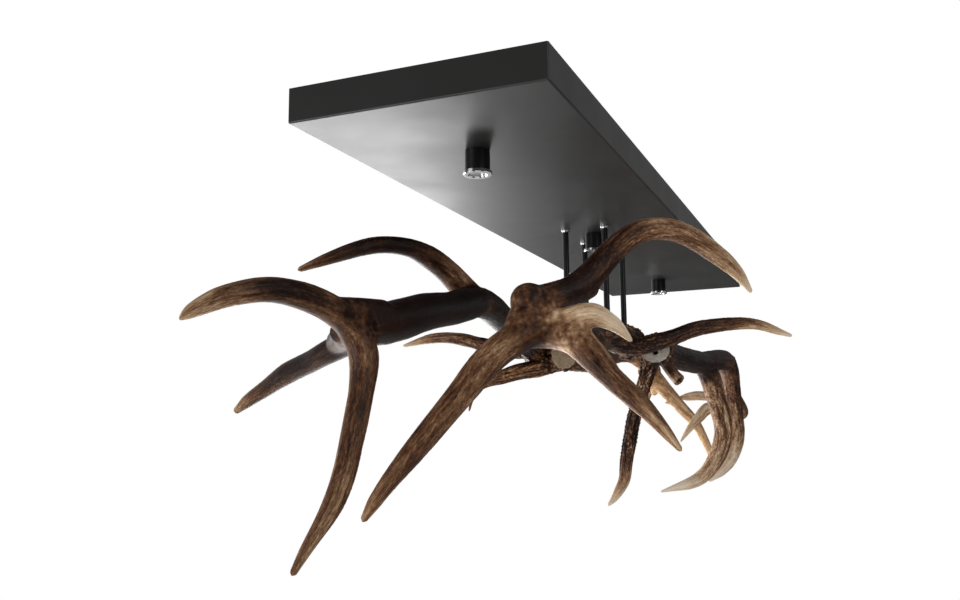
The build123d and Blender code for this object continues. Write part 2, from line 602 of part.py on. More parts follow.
for spot, x in spot_places.items():
    barrel = round_piece(x, [
        (NIPPLE_BORE / 2, nipple_top),
        (NIPPLE_DIAMETER / 2, nipple_top),
        (NIPPLE_DIAMETER / 2, -PAN_HEIGHT),
        (BARREL_DIAMETER / 2, -PAN_HEIGHT),
        (BARREL_DIAMETER / 2, barrel_end),
        (spigot_radius + SEAT_CLEARANCE, barrel_end),
        (spigot_radius + SEAT_CLEARANCE, spigot_top + HOLE_CLEARANCE),
        (barrel_bore, spigot_top + HOLE_CLEARANCE),
        (barrel_bore, barrel_ceiling),
        (NIPPLE_BORE / 2, barrel_ceiling),
    ])
    save(barrel, f"spot_{spot}_barrel")

    slug = round_piece(x, [
        (NIPPLE_BORE / 2, slug_bottom),
        (barrel_bore - SEAT_CLEARANCE, slug_bottom),
        (barrel_bore - SEAT_CLEARANCE, barrel_ceiling),
        (NIPPLE_BORE / 2, barrel_ceiling),
    ])
    save(slug, f"spot_{spot}_heat_slug")

    board = round_piece(x, [
        (0, board_bottom - LED_HEIGHT),
        (LED_DIAMETER / 2, board_bottom - LED_HEIGHT),
        (LED_DIAMETER / 2, board_bottom),
        (barrel_bore - HOLE_CLEARANCE, board_bottom),
        (barrel_bore - HOLE_CLEARANCE, slug_bottom),
        (0, slug_bottom),
    ])
    save(board, f"spot_{spot}_led_board")

    reflector = round_piece(x, [
        (reflector_neck, board_bottom),
        (reflector_radius, reflector_bottom),
        (reflector_radius - REFLECTOR_WALL, reflector_bottom),
        (reflector_neck - REFLECTOR_WALL, board_bottom),
    ])
    save(reflector, f"spot_{spot}_reflector")

    glass = round_piece(x, [
        (0, glass_bottom),
        (bezel_bore - SEAT_CLEARANCE, glass_bottom),
        (bezel_bore - SEAT_CLEARANCE, glass_top),
        (0, glass_top),
    ])
    save(glass, f"spot_{spot}_glass")

    bezel = round_piece(x, [
        (lip_radius, glass_bottom),
        (bezel_bore, glass_bottom),
        (bezel_bore, spigot_top),
        (spigot_radius, spigot_top),
        (spigot_radius, barrel_end),
        (BEZEL_DIAMETER / 2, barrel_end),
        (BEZEL_DIAMETER / 2, spot_face + BEZEL_LIP / 2),
        (BEZEL_DIAMETER / 2 - BEZEL_LIP / 2, spot_face),
        (lip_radius + BEZEL_LIP, spot_face),
        (lip_radius, spot_face + BEZEL_LIP),
    ])
    save(bezel, f"spot_{spot}_bezel")

    nut_seat = load_plate_top if spot == "middle" else pan_floor_top
    with BuildPart() as nipple_nut:
        with BuildSketch(Plane.XY.offset(nut_seat)):
            with Locations((x, 0)):
                RegularPolygon(NIPPLE_NUT_FLATS / 2, 6, major_radius=False)
                Circle(NIPPLE_DIAMETER / 2 + THREAD_CLEARANCE, mode=Mode.SUBTRACT)
        extrude(amount=NIPPLE_NUT_HEIGHT)
    save(nipple_nut.part, f"spot_{spot}_nut")

# ---------------------------------------------------------------- electrics inside the pan
with BuildPart() as weld_studs:
    for x, y, length in weld_stud_places:
        with BuildSketch(Plane.XY.offset(pan_floor_top)):
            with Locations((x, y)):
                Circle(WELD_STUD / 2)
        extrude(amount=length)
save(weld_studs.part, "weld_studs")

with BuildPart() as small_nuts:
    nut_levels = [
        pan_floor_top + DRIVER_EAR_THICKNESS,
        pan_floor_top + DRIVER_EAR_THICKNESS,
        pan_floor_top + EARTH_TAG_THICKNESS,
    ]
    for (x, y, length), nut_level in zip(weld_stud_places, nut_levels):
        with BuildSketch(Plane.XY.offset(nut_level)):
            with Locations((x, y)):
                RegularPolygon(SMALL_NUT_FLATS / 2, 6, major_radius=False)
                Circle(WELD_STUD / 2 + THREAD_CLEARANCE, mode=Mode.SUBTRACT)
        extrude(amount=SMALL_NUT_HEIGHT)
save(small_nuts.part, "small_nuts")

with BuildPart() as led_driver:
    with BuildSketch(Plane.XY.offset(pan_floor_top)):
        with Locations((DRIVER_X, driver_y)):
            RectangleRounded(DRIVER_LENGTH, DRIVER_WIDTH, PAN_CORNER_RADIUS)
    extrude(amount=DRIVER_HEIGHT)
    fillet(led_driver.faces().sort_by(Axis.Z)[-1].edges(), PAN_CORNER_RADIUS)
    with BuildSketch(Plane.XY.offset(pan_floor_top)):
        with Locations((DRIVER_X, driver_y)):
            Rectangle(DRIVER_LENGTH + 2 * DRIVER_EAR, DRIVER_EAR)
            with Locations((-driver_ear_x, 0), (driver_ear_x, 0)):
                Circle(WELD_STUD / 2 + HOLE_CLEARANCE, mode=Mode.SUBTRACT)
    extrude(amount=DRIVER_EAR_THICKNESS)
save(led_driver.part, "led_driver")

terminal_top = pan_floor_top + TERMINAL_HEIGHT
with BuildPart() as terminal_block:
    with BuildSketch(Plane.XY.offset(pan_floor_top)):
        with Locations((TERMINAL_X, driver_y)):
            Rectangle(TERMINAL_LENGTH, TERMINAL_WIDTH)
    extrude(amount=TERMINAL_HEIGHT)
    chamfer(terminal_block.faces().sort_by(Axis.Z)[-1].edges(), BOARD_THICKNESS)
    with BuildSketch(Plane.XY.offset(terminal_top)):
        with Locations((TERMINAL_X, driver_y)):
            with GridLocations(TERMINAL_LENGTH / 2, TERMINAL_WIDTH / 3, 2, 3):
                Circle(TERMINAL_SCREW / 2 + SEAT_CLEARANCE)
    extrude(amount=-TERMINAL_HEIGHT / 2, mode=Mode.SUBTRACT)
save(terminal_block.part, "terminal_block")

with BuildPart() as terminal_screws:
    with BuildSketch(Plane.XY.offset(terminal_top - TERMINAL_HEIGHT / 2)):
        with Locations((TERMINAL_X, driver_y)):
            with GridLocations(TERMINAL_LENGTH / 2, TERMINAL_WIDTH / 3, 2, 3):
                Circle(TERMINAL_SCREW / 2)
    extrude(amount=TERMINAL_HEIGHT / 2 - BOARD_THICKNESS)
save(terminal_screws.part, "terminal_screws")

with BuildPart() as earth_tag:
    with BuildSketch(Plane.XY.offset(pan_floor_top)):
        with Locations((EARTH_STUD_X, EARTH_STUD_Y)):
            Circle(EARTH_TAG / 2)
            Rectangle(EARTH_TAG / 2, EARTH_TAG, align=(Align.CENTER, Align.MIN))
            Circle(WELD_STUD / 2 + HOLE_CLEARANCE, mode=Mode.SUBTRACT)
    extrude(amount=EARTH_TAG_THICKNESS)
save(earth_tag.part, "earth_tag")

# Leads leave the driver squarely, lie on the pan's floor or on the load plate, and rise to turn down
# through each spotlight's nipple to its light board
driver_face = DRIVER_X + DRIVER_LENGTH / 2
driver_back = DRIVER_X - DRIVER_LENGTH / 2
driver_outlet = pan_floor_top + DRIVER_HEIGHT / 2
terminal_face = TERMINAL_X + TERMINAL_LENGTH / 2
terminal_y = driver_y + TERMINAL_WIDTH / 3
terminal_outlet = pan_floor_top + TERMINAL_HEIGHT / 3
lead_floor = pan_floor_top + LEAD_DIAMETER / 2 + SEAT_CLEARANCE
lead_on_plate = lead_floor + LOAD_PLATE_THICKNESS
near_y = driver_y + LEAD_OUTLET_PITCH * 1.5
far_y = driver_y + LEAD_OUTLET_PITCH * 0.75
middle_y = driver_y - LEAD_OUTLET_PITCH
first_bend = driver_face + LEAD_STRAIGHT
loop_x = driver_face + LEAD_LOOP_REACH
loop_y = near_y + LEAD_LOOP_RISE
lead_paths = {
    "near": [
        (driver_face, near_y, driver_outlet), (first_bend, near_y, driver_outlet),
        (loop_x - LEAD_LOOP_REACH / 5, near_y + LEAD_LOOP_RISE / 8, lead_floor),
        (loop_x, near_y + LEAD_LOOP_RISE * 0.58, lead_floor),
        (loop_x - LEAD_LOOP_REACH / 5, loop_y, lead_floor),
        (loop_x - LEAD_LOOP_REACH * 0.78, loop_y + LEAD_DIAMETER / 2, lead_floor),
        (DRIVER_X, loop_y - LEAD_DIAMETER, lead_floor),
        (terminal_face + DRIVER_HEIGHT * 2, loop_y - LEAD_DIAMETER / 2, lead_floor),
        (TERMINAL_X - TERMINAL_LENGTH, loop_y - TERMINAL_WIDTH / 2, lead_floor),
        (-SPOT_PITCH + 22, driver_y - 27, lead_floor),
        (-SPOT_PITCH + 6, 24, -LEAD_PEAK_DEPTH), (-SPOT_PITCH, 0, -LEAD_PEAK_DEPTH - 1),
        (-SPOT_PITCH, 0, slug_bottom),
    ],
    "middle": [
        (driver_face, middle_y, driver_outlet), (first_bend, middle_y, driver_outlet),
        (driver_face + 56, middle_y - 18, lead_on_plate), (-88, 24, lead_on_plate),
        (-52, 6, (lead_on_plate - LEAD_PEAK_DEPTH) / 2), (-25, 1, -LEAD_PEAK_DEPTH),
        (0, 0, -LEAD_PEAK_DEPTH - 1), (0, 0, slug_bottom),
    ],
    "far": [
        (driver_face, far_y, driver_outlet), (first_bend, far_y, driver_outlet),
        (driver_face + 56, far_y + 2, lead_floor), (-50, far_y + 6, lead_floor),
        (35, far_y + 1, lead_floor), (135, far_y - 5, lead_floor), (240, far_y - 18, lead_floor),
        (350, far_y - 32, lead_floor), (SPOT_PITCH - 62, 35, lead_floor),
        (SPOT_PITCH - 24, 11, -LEAD_PEAK_DEPTH), (SPOT_PITCH, 0, -LEAD_PEAK_DEPTH - 1),
        (SPOT_PITCH, 0, slug_bottom),
    ],
    "mains": [
        (driver_back, terminal_y - 2, driver_outlet), (driver_back - 17, terminal_y - 2, driver_outlet),
        (terminal_face + 17, terminal_y, terminal_outlet), (terminal_face, terminal_y, terminal_outlet),
    ],
    "earth": [
        (EARTH_STUD_X, EARTH_STUD_Y + EARTH_TAG, lead_floor),
        (EARTH_STUD_X, EARTH_STUD_Y + 2 * EARTH_TAG, lead_floor),
        (TERMINAL_X, driver_y - TERMINAL_WIDTH / 2 - EARTH_TAG, terminal_outlet),
        (TERMINAL_X, driver_y - TERMINAL_WIDTH / 2, terminal_outlet),
    ],
}
lead_names = {
    "near": "spot_near_lead",
    "middle": "spot_middle_lead",
    "far": "spot_far_lead",
    "mains": "driver_mains_lead",
    "earth": "earth_lead",
}


def bend_radii(points):
    """The largest arc at each corner that its shorter run allows."""
    radii = []
    for before, corner, after in zip(points, points[1:], points[2:]):
        arriving = Vector(*corner) - Vector(*before)
        leaving = Vector(*after) - Vector(*corner)
        half_turn = radians(arriving.get_angle(leaving) / 2)
        radii.append(0.45 * min(arriving.length, leaving.length) / tan(half_turn))
    return radii


for run, points in lead_paths.items():
    radii = bend_radii(points)
    with BuildPart() as lead:
        with BuildLine():
            lead_line = FilletPolyline(*points, radius=radii)
        with BuildSketch(Plane(origin=lead_line @ 0, z_dir=lead_line % 0)):
            Circle(LEAD_DIAMETER / 2)
        sweep()
    print(lead_names[run], "bends", [round(radius) for radius in radii])
    save(lead.part, lead_names[run])
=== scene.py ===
# %% [markdown]
# An antler chandelier for a ceiling: a long black pan with three small spotlights, four slim rods, and four
# red deer antlers that the rods carry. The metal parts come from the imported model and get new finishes.
# The antlers are the reason for this scene: their solids are smooth, so each gets a full mesh of its own.

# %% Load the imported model
import math

import bmesh
import bpy
import numpy as np
from mathutils import Matrix, Vector


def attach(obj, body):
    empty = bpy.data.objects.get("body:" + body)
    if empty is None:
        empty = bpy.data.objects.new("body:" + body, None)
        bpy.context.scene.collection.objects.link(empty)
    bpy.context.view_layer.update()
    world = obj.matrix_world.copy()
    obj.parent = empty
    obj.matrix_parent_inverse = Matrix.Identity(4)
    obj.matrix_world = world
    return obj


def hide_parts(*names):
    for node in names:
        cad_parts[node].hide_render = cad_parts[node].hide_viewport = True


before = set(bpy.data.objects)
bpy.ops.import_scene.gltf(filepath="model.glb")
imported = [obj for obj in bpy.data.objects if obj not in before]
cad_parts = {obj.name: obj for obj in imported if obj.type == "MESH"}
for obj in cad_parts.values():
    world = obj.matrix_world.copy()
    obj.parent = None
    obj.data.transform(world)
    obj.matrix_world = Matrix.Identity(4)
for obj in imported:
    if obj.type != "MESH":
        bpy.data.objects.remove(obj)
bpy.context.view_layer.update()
MM = 0.001

# %% [markdown]
# The photograph looks up along the pan from near one end of it. The camera's place and directions are real
# ones in the model's frame, found by fitting the pan's corners and the spotlights, so nothing is shifted.

# %% The camera
CAMERA_PLACE = Vector((-1.4902, -0.4202, -0.3857))
CAMERA_RIGHT = Vector((0.39101, -0.92033, -0.01033))
CAMERA_FORWARD = Vector((0.91035, 0.38507, 0.15161))
LENS_MM = 34.915
SENSOR_MM = 36.0

camera_data = bpy.data.cameras.new("photo_camera")
camera_data.lens = LENS_MM
camera_data.sensor_width = SENSOR_MM
camera = bpy.data.objects.new("photo_camera", camera_data)
bpy.context.scene.view_settings.view_transform = "Standard"
camera_up = CAMERA_RIGHT.cross(CAMERA_FORWARD).normalized()
turn = Matrix((CAMERA_RIGHT, camera_up, -CAMERA_FORWARD)).transposed()
camera.matrix_world = Matrix.Translation(CAMERA_PLACE) @ turn.to_4x4()
bpy.context.scene.collection.objects.link(camera)
bpy.context.scene.camera = camera

# %% [markdown]
# A material here is a small tree of nodes. These helpers add one node each and return its output, so that a
# finish reads from top to bottom as a list of layers: a pattern, a colour ramp, a mix, a bump.

# %% Helpers for materials


class Finish:
    """One material and its nodes, with a Principled shader at the end."""

    def __init__(self, name, roughness, metallic=0.0):
        self.material = bpy.data.materials.new(name)
        self.material.use_nodes = True
        self.nodes = self.material.node_tree.nodes
        self.links = self.material.node_tree.links
        self.shader = self.nodes["Principled BSDF"]
        self.shader.inputs["Roughness"].default_value = roughness
        self.shader.inputs["Metallic"].default_value = metallic

    def feed(self, socket, value):
        """Join a node's output to a socket, or set the socket to a plain value."""
        if isinstance(value, bpy.types.NodeSocket):
            self.links.new(value, socket)
        else:
            socket.default_value = value

    def place(self):
        """The point's place in the object, in metres."""
        return self.nodes.new("ShaderNodeTexCoord").outputs["Object"]

    def attribute(self, name, output="Fac"):
        """A value or vector that the mesh carries at each vertex."""
        node = self.nodes.new("ShaderNodeAttribute")
        node.attribute_name = name
        return node.outputs[output]

    def noise(self, where, scale, detail=3.0, rough=0.5):
        """Cloudy noise, with features about 1/scale metres across."""
        node = self.nodes.new("ShaderNodeTexNoise")
        self.feed(node.inputs["Vector"], where)
        node.inputs["Scale"].default_value = scale
        node.inputs["Detail"].default_value = detail
        node.inputs["Roughness"].default_value = rough
        return node.outputs["Fac"]

    def cells(self, where, scale):
        """Distance to the nearest of many scattered points."""
        node = self.nodes.new("ShaderNodeTexVoronoi")
        self.feed(node.inputs["Vector"], where)
        node.inputs["Scale"].default_value = scale
        return node.outputs["Distance"]

    def stretch(self, where, factors):
        """The same place, stretched along each axis."""
        node = self.nodes.new("ShaderNodeMapping")
        self.feed(node.inputs["Vector"], where)
        node.inputs["Scale"].default_value = factors
        return node.outputs["Vector"]

    def steps(self, value, stops):
        """A colour ramp from (place, grey or colour) stops."""
        node = self.nodes.new("ShaderNodeValToRGB")
        self.feed(node.inputs["Fac"], value)
        elements = node.color_ramp.elements
        while len(elements) < len(stops):
            elements.new(1.0)
        for element, (at, colour) in zip(elements, stops):
            grey = isinstance(colour, (int, float))
            element.position = at
            element.color = (colour, colour, colour, 1.0) if grey else (*colour, 1.0)
        return node.outputs["Color"]

    def cloudy(self, scale, low, high, start=0.3):
        """Two greys or two colours that run into each other along cloudy noise."""
        return self.steps(self.noise(self.place(), scale), [(start, low), (0.7, high)])

    def mix(self, share, first, second, how="MIX"):
        """Blend two colours."""
        node = self.nodes.new("ShaderNodeMix")
        node.data_type = "RGBA"
        node.blend_type = how
        share_socket, first_socket, second_socket = node.inputs[0], node.inputs[6], node.inputs[7]
        self.feed(share_socket, share)
        for socket, value in ((first_socket, first), (second_socket, second)):
            self.feed(socket, (*value, 1.0) if isinstance(value, tuple) else value)
        return node.outputs[2]

    def sum(self, how, first, second):
        """One arithmetic step."""
        node = self.nodes.new("ShaderNodeMath")
        node.operation = how
        self.feed(node.inputs[0], first)
        self.feed(node.inputs[1], second)
        return node.outputs["Value"]

    def bump(self, height, distance, strength=1.0):
        """Small relief on the surface, distance metres high."""
        node = self.nodes.new("ShaderNodeBump")
        self.feed(node.inputs["Height"], height)
        node.inputs["Distance"].default_value = distance
        node.inputs["Strength"].default_value = strength
        self.feed(self.shader.inputs["Normal"], node.outputs["Normal"])

    def colour(self, value):
        """The base colour: a plain one or a node's output."""
        plain = not isinstance(value, bpy.types.NodeSocket)
        self.feed(self.shader.inputs["Base Color"], (*value, 1.0) if plain else value)

    def roughness(self, value):
        """Roughness from a node's output."""
        self.feed(self.shader.inputs["Roughness"], value)


def dress(finish, *names):
    """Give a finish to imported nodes."""
    for name in names:
        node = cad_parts[name]
        node.data.materials.clear()
        node.data.materials.append(finish.material)


# %% [markdown]
# Everything metal is black, zinc or chrome. Powder coat is dark but not matt: at a low angle it mirrors the
# room softly, which is why the pan's underside runs from pale grey to near black. A very fine speckle in the
# bump breaks that reflection as the real grain does.

# %% The pan's powder coat
POWDER_BLACK = (0.013, 0.0125, 0.012)
POWDER_PALE = (0.017, 0.016, 0.0155)

powder_coat = Finish("black_powder_coat", roughness=0.3)
grain = powder_coat.noise(powder_coat.place(), 900.0, detail=2.0)
clouds = powder_coat.noise(powder_coat.place(), 30.0)
powder_coat.colour(powder_coat.mix(clouds, POWDER_BLACK, POWDER_PALE))
powder_coat.roughness(powder_coat.cloudy(12.0, 0.34, 0.4))
powder_coat.bump(grain, 0.00003, 0.5)
dress(powder_coat, "ceiling_pan")

# %% Rods and spotlight barrels
CORNERS = ("near_left", "near_right", "far_right", "far_left")
SPOTS = ("near", "middle", "far")
SATIN_BLACK = (0.003, 0.003, 0.0033)
SATIN_PALE = (0.006, 0.006, 0.0065)

satin_black = Finish("satin_black", roughness=0.4)
satin_black.shader.inputs["Specular IOR Level"].default_value = 0.3
clouds = satin_black.noise(satin_black.place(), 60.0)
satin_black.colour(satin_black.mix(clouds, SATIN_BLACK, SATIN_PALE))
satin_black.bump(satin_black.noise(satin_black.place(), 1500.0), 0.00002, 0.4)
dress(satin_black, *[f"rod_{corner}" for corner in CORNERS])
dress(satin_black, *[f"spot_{spot}_barrel" for spot in SPOTS])

# %% Plated, bright and hidden metal
nickel = Finish("nickel_plate", roughness=0.22, metallic=1.0)
nickel.colour((0.62, 0.62, 0.62))
nickel.roughness(nickel.cloudy(400.0, 0.16, 0.3))
dress(nickel, *[f"rod_collar_{corner}" for corner in CORNERS])

chrome = Finish("polished_chrome", roughness=0.07, metallic=1.0)
chrome.colour((0.88, 0.88, 0.9))
chrome.roughness(chrome.cloudy(300.0, 0.05, 0.12, start=0.35))
dress(chrome, *[f"spot_{spot}_bezel" for spot in SPOTS])

zinc = Finish("zinc_plate", roughness=0.4, metallic=1.0)
zinc.colour(zinc.cloudy(90.0, (0.5, 0.51, 0.53), (0.66, 0.66, 0.65)))
zinc.roughness(zinc.steps(zinc.cells(zinc.place(), 160.0), [(0.0, 0.3), (0.8, 0.5)]))
dress(zinc, "ceiling_bracket_near", "ceiling_bracket_far", "shouldered_studs_near", "shouldered_studs_far")
dress(zinc, "pan_bridge_near", "pan_bridge_far", "pan_lock_screw", "load_plate", "rod_washers", "rod_nuts")
dress(zinc, "weld_studs", "small_nuts", *[f"spot_{spot}_nut" for spot in SPOTS])

brass = Finish("turned_brass", roughness=0.3, metallic=1.0)
brass.colour(brass.cloudy(120.0, (0.6, 0.43, 0.16), (0.75, 0.57, 0.26)))
dress(brass, "rod_inserts", "terminal_screws", "earth_tag")

aluminium = Finish("turned_aluminium", roughness=0.3, metallic=1.0)
aluminium.colour(aluminium.cloudy(200.0, 0.6, 0.75))
dress(aluminium, *[f"spot_{spot}_{piece}" for spot in SPOTS for piece in ("heat_slug", "reflector")])

# %% Glass, light board, plastics and dowels
lens_glass = Finish("lens_glass", roughness=0.03)
lens_glass.colour((0.96, 0.97, 0.97))
lens_glass.shader.inputs["Transmission Weight"].default_value = 1.0
lens_glass.shader.inputs["IOR"].default_value = 1.5
lens_glass.bump(lens_glass.cells(lens_glass.place(), 900.0), 0.00003, 0.3)
dress(lens_glass, *[f"spot_{spot}_glass" for spot in SPOTS])

CHIP_YELLOW = (0.7, 0.6, 0.2)
BOARD_WHITE = (0.8, 0.8, 0.76)
light_board = Finish("light_board", roughness=0.4)
chips = light_board.cells(light_board.place(), 700.0)
light_board.colour(light_board.steps(chips, [(0.0, CHIP_YELLOW), (0.5, BOARD_WHITE)]))
dress(light_board, *[f"spot_{spot}_led_board" for spot in SPOTS])

moulded_white = Finish("moulded_white", roughness=0.45)
moulded_white.colour(moulded_white.cloudy(50.0, 0.62, 0.7))
moulded_white.bump(moulded_white.noise(moulded_white.place(), 1200.0), 0.00003, 0.5)
dress(moulded_white, "led_driver", "terminal_block")

grey_sheath = Finish("grey_sheath", roughness=0.5)
grey_sheath.colour(grey_sheath.cloudy(80.0, 0.18, 0.24))
dress(grey_sheath, "spot_near_lead", "spot_middle_lead", "spot_far_lead", "driver_mains_lead")

EARTH_GREEN = (0.03, 0.22, 0.03)
EARTH_YELLOW = (0.75, 0.6, 0.03)
earth_sleeve = Finish("earth_sleeve", roughness=0.45)
stripe = earth_sleeve.nodes.new("ShaderNodeTexWave")
stripe.inputs["Scale"].default_value = 60.0
earth_sleeve.feed(stripe.inputs["Vector"], earth_sleeve.place())
earth_sleeve.colour(earth_sleeve.steps(stripe.outputs["Fac"], [(0.45, EARTH_GREEN), (0.55, EARTH_YELLOW)]))
dress(earth_sleeve, "earth_lead")

dowel_wood = Finish("beech_dowel", roughness=0.6)
wood_grain = dowel_wood.stretch(dowel_wood.place(), (400.0, 30.0, 400.0))
wood_lines = dowel_wood.noise(wood_grain, 1.0)
dowel_wood.colour(dowel_wood.steps(wood_lines, [(0.3, (0.42, 0.26, 0.13)), (0.7, (0.6, 0.42, 0.24))]))
dress(dowel_wood, "cross_dowels")

# %% [markdown]
# An antler is bone. A beam starts at the burr, a ring of pearls where it was shed, and runs with long
# gutters and beads to its crown, where tines part. Tines lose their grooves and end in smooth, pale points.
# Each limb is a short list of points: x, y, z from the middle between the pair's two rods, then the limb's
# radius there, all in millimetres. Its tones run from root to point, 0 for black bark and 1 for ivory, and
# its relief says how deep the gutters are. "Pearled" says how far the burr's pearls reach up the beam.

# %% How a limb is written down
# The pairs hang side by side, ROD_SIDE from the pan's middle line, with the left pair lower.
ROD_SIDE = 33.0
RIGHT_LEVEL = -218.0
LEFT_LEVEL = -247.0


def limb(kind, tones, relief, points):
    """One limb: a beam, tine, brow tine, stub or the web in a fork."""
    return {"kind": kind, "tones": tones, "relief": relief, "points": points}


ANTLERS = {}

# %% The near antler on the right, hung on two rods
ANTLERS["near_right"] = {"origin": (0, -ROD_SIDE, RIGHT_LEVEL), "burr_radius": 28.0, "pearled": 62.0}
ANTLERS["near_right"]["limbs"] = [
    limb("beam", (0.46, 0.4, 0.26, 0.14, 0.1, 0.2, 0.34), (2.0, 1.8, 1.2, 0.5, 0.3, 0.2), [
        (82, 0, 1, 25), (50, 0, 0, 23.5), (0, 0, 0, 23), (-60, 0, -3, 22), (-180, -10, -13, 21.5),
        (-355, -35, -21, 20.5), (-510, -60, -29, 20), (-597, -75, -36, 18)]),
    limb("brow", (0.24, 0.24, 0.24, 0.3, 0.64, 1.0), (1.4, 1.0, 0.7, 0.4, 0.05), [
        (-15, -5, -10, 15), (-2, -30, -14, 15), (13, -63, -8, 13.9), (27, -87, 0, 13), (44, -116, 12, 12.4),
        (54, -137, 17, 12), (65, -158, 20, 11.4), (75, -180, 22, 10.6), (85, -201, 22, 9.4),
        (95, -222, 18, 8.1), (104, -242, 10, 6.3), (114, -263, 2, 3)]),
    limb("tine", (0.28, 0.26, 0.38, 0.38, 0.32, 0.32, 0.42, 0.54), (0.25, 0.3, 0.3, 0.2, 0.05), [
        (-597, -82, -46, 18.3), (-630, -68, -63, 16.8), (-654, -48, -83, 15.5), (-675, -25.5, -117, 13.7),
        (-697, 2, -158, 12), (-709, 16.5, -180, 10.6), (-733, 40, -221, 6.6), (-739, 46, -234, 3.6)]),
    limb("tine", (0.54, 0.6, 0.48, 0.5, 0.56, 0.62, 0.66), (0.2, 0.3, 0.35, 0.25, 0.05), [
        (-605, -91, -48, 17.3), (-612, -115, -65, 17.3), (-619, -135, -84, 15), (-621, -155, -107, 11.4),
        (-621, -181, -132, 9.6), (-621, -207, -162, 5.6), (-621, -217, -175, 2.9)]),
    limb("tine", (0.56, 0.72, 0.84, 0.88), (0.15, 0.05, 0.0), [
        (-600, -88, -50, 14), (-607, -100, -50, 14.6), (-612, -127, -46, 14.3), (-611, -137, -45, 12.6),
        (-607, -147, -49, 9.7), (-603, -156, -55, 7.6), (-594, -168, -69, 2.6)]),
    limb("tine", (0.2, 0.16, 0.24, 0.38, 0.54, 0.5, 0.64, 0.95), (0.3, 0.45, 0.6, 0.5, 0.2, 0.0), [
        (-602, -72, -27, 17.4), (-574, -99, -13, 15), (-562, -111, -3, 15.4), (-552, -121, 9, 15.4),
        (-544, -135, 27, 14), (-528, -165, 53, 12.4), (-505, -199, 56, 11.8), (-485, -231, 37, 11),
        (-475, -246, 24, 9.5), (-467, -259, 9, 6.8), (-460, -269, -8, 2.7)]),
    limb("knob", (0.34, 0.34), (0.25, 0.25), [
        (-583, -77, -34, 17.6), (-604, -75, -28, 18.8), (-613, -69.5, -26, 18.5)]),
    limb("web", (0.3, 0.44, 0.54), (0.3, 0.3), [
        (-623, -63, -60, 17), (-606, -85, -56, 18.8), (-615, -116, -65, 17.2)]),
    limb("web", (0.16, 0.2), (0.3, 0.3), [
        (-574, -99, -18, 13), (-562, -111, -13, 11.5), (-555, -118, -10, 9)]),
    limb("web", (0.34, 0.3), (0.2, 0.2), [
        (-606, -74, -28, 17.4), (-617, -67, -42, 17.2), (-630, -65, -58, 16)]),
]

# %% The near antler on the left, dowelled to the far one
ANTLERS["near_left"] = {"origin": (0, ROD_SIDE, LEFT_LEVEL), "burr_radius": 26.0, "pearled": 40.0}
ANTLERS["near_left"]["limbs"] = [
    # The beam's tones near 0 are partly black bark and partly painted shade.
    limb("beam", (0.42, 0.3, 0.1, 0.02, 0.0, 0.0, 0.02, 0.12), (1.9, 1.5, 0.6, 0.3, 0.15, 0.1), [
        (-25, 58, 4, 24), (-60, 54, 9, 22), (-102, 50, 14, 21), (-189, 41, 28, 20), (-275, 30, 37, 19),
        (-372, 20, 44, 20.6), (-469, 14, 24, 21), (-544, 10, 10, 21.5), (-606, 8, -5, 21.6),
        (-653, 11, -17, 22.5), (-688, 13, -25, 18)]),
    limb("brow", (0.44, 0.46, 0.48, 0.54, 0.66, 0.9), (1.3, 1.2, 1.0, 0.5, 0.0), [
        (-66, 52, 10, 14), (-76, 75, 9, 13.6), (-85, 107, 13, 12.2), (-92, 139, 22, 10.7),
        (-99, 168, 30, 10.1), (-108, 222, 32.5, 7.8), (-112, 246, 27.5, 5.2), (-115, 267, 22.5, 2.4)]),
    limb("tine", (0.56, 0.52, 0.22, 0.08, 0.1, 0.2, 0.54), (0.2, 0.3, 0.35, 0.3, 0.1), [
        (-380, 16, 40, 17), (-398, 27, 55, 17), (-423, 39, 75, 16), (-454, 50, 90, 15), (-485, 62, 99, 12.1),
        (-511, 77, 100, 10.5), (-537, 92, 95, 10.1), (-558, 111, 85.5, 9.2), (-578, 132, 73.5, 6.7),
        (-596, 150, 62, 3.4)]),
    limb("tine", (0.7, 0.52, 0.32, 0.38, 0.46, 0.36, 0.3, 0.36, 0.38, 0.42, 0.54),
         (0.0, 0.1, 0.2, 0.3, 0.25, 0.15, 0.2, 0.3, 0.3, 0.2, 0.0), [
        (-864, 91, -32, 1.3), (-862, 88, -29, 4.2), (-859, 84, -25, 6.5), (-854, 77, -20, 8.3),
        (-844, 68, -13, 9.8), (-827, 56, -6, 10.9), (-807, 46, -1, 11.8), (-782, 37, -0.5, 12.5),
        (-756, 29, -4, 13.4), (-730, 22, -11, 14.6), (-700, 18, -26, 15.6), (-691, 11.5, -47, 15),
        (-691, 10, -68, 14), (-697, 10, -93, 12.9), (-714, 10, -139, 12), (-726, 10, -167, 11.4),
        (-739, 13, -192, 10), (-749, 18.5, -210, 8.3), (-764, 26, -233, 5.8), (-774, 31, -250, 3.4)]),
    limb("tine", (0.36, 0.2, 0.18, 0.28, 0.48), (0.1, 0.2, 0.05), [
        (-683, 29, -25, 13), (-660, 42, -31, 13.5), (-646, 77, -41, 12.7), (-634, 108, -49.5, 12.2),
        (-619, 149, -60, 12), (-606, 189, -76, 9.6), (-598, 219, -89, 7.1), (-593, 236, -98, 4.2)]),
    limb("web", (0.34, 0.28, 0.22), (0.1, 0.1), [
        (-702, 32, -28, 11), (-686, 36, -29, 14.4), (-661, 58, -33, 12.4)]),
    limb("web", (0.02, 0.1, 0.3), (0.1, 0.1), [
        (-655, 10, -8, 17), (-688, 13, -9, 15.5), (-722, 20, -10, 13)]),
]

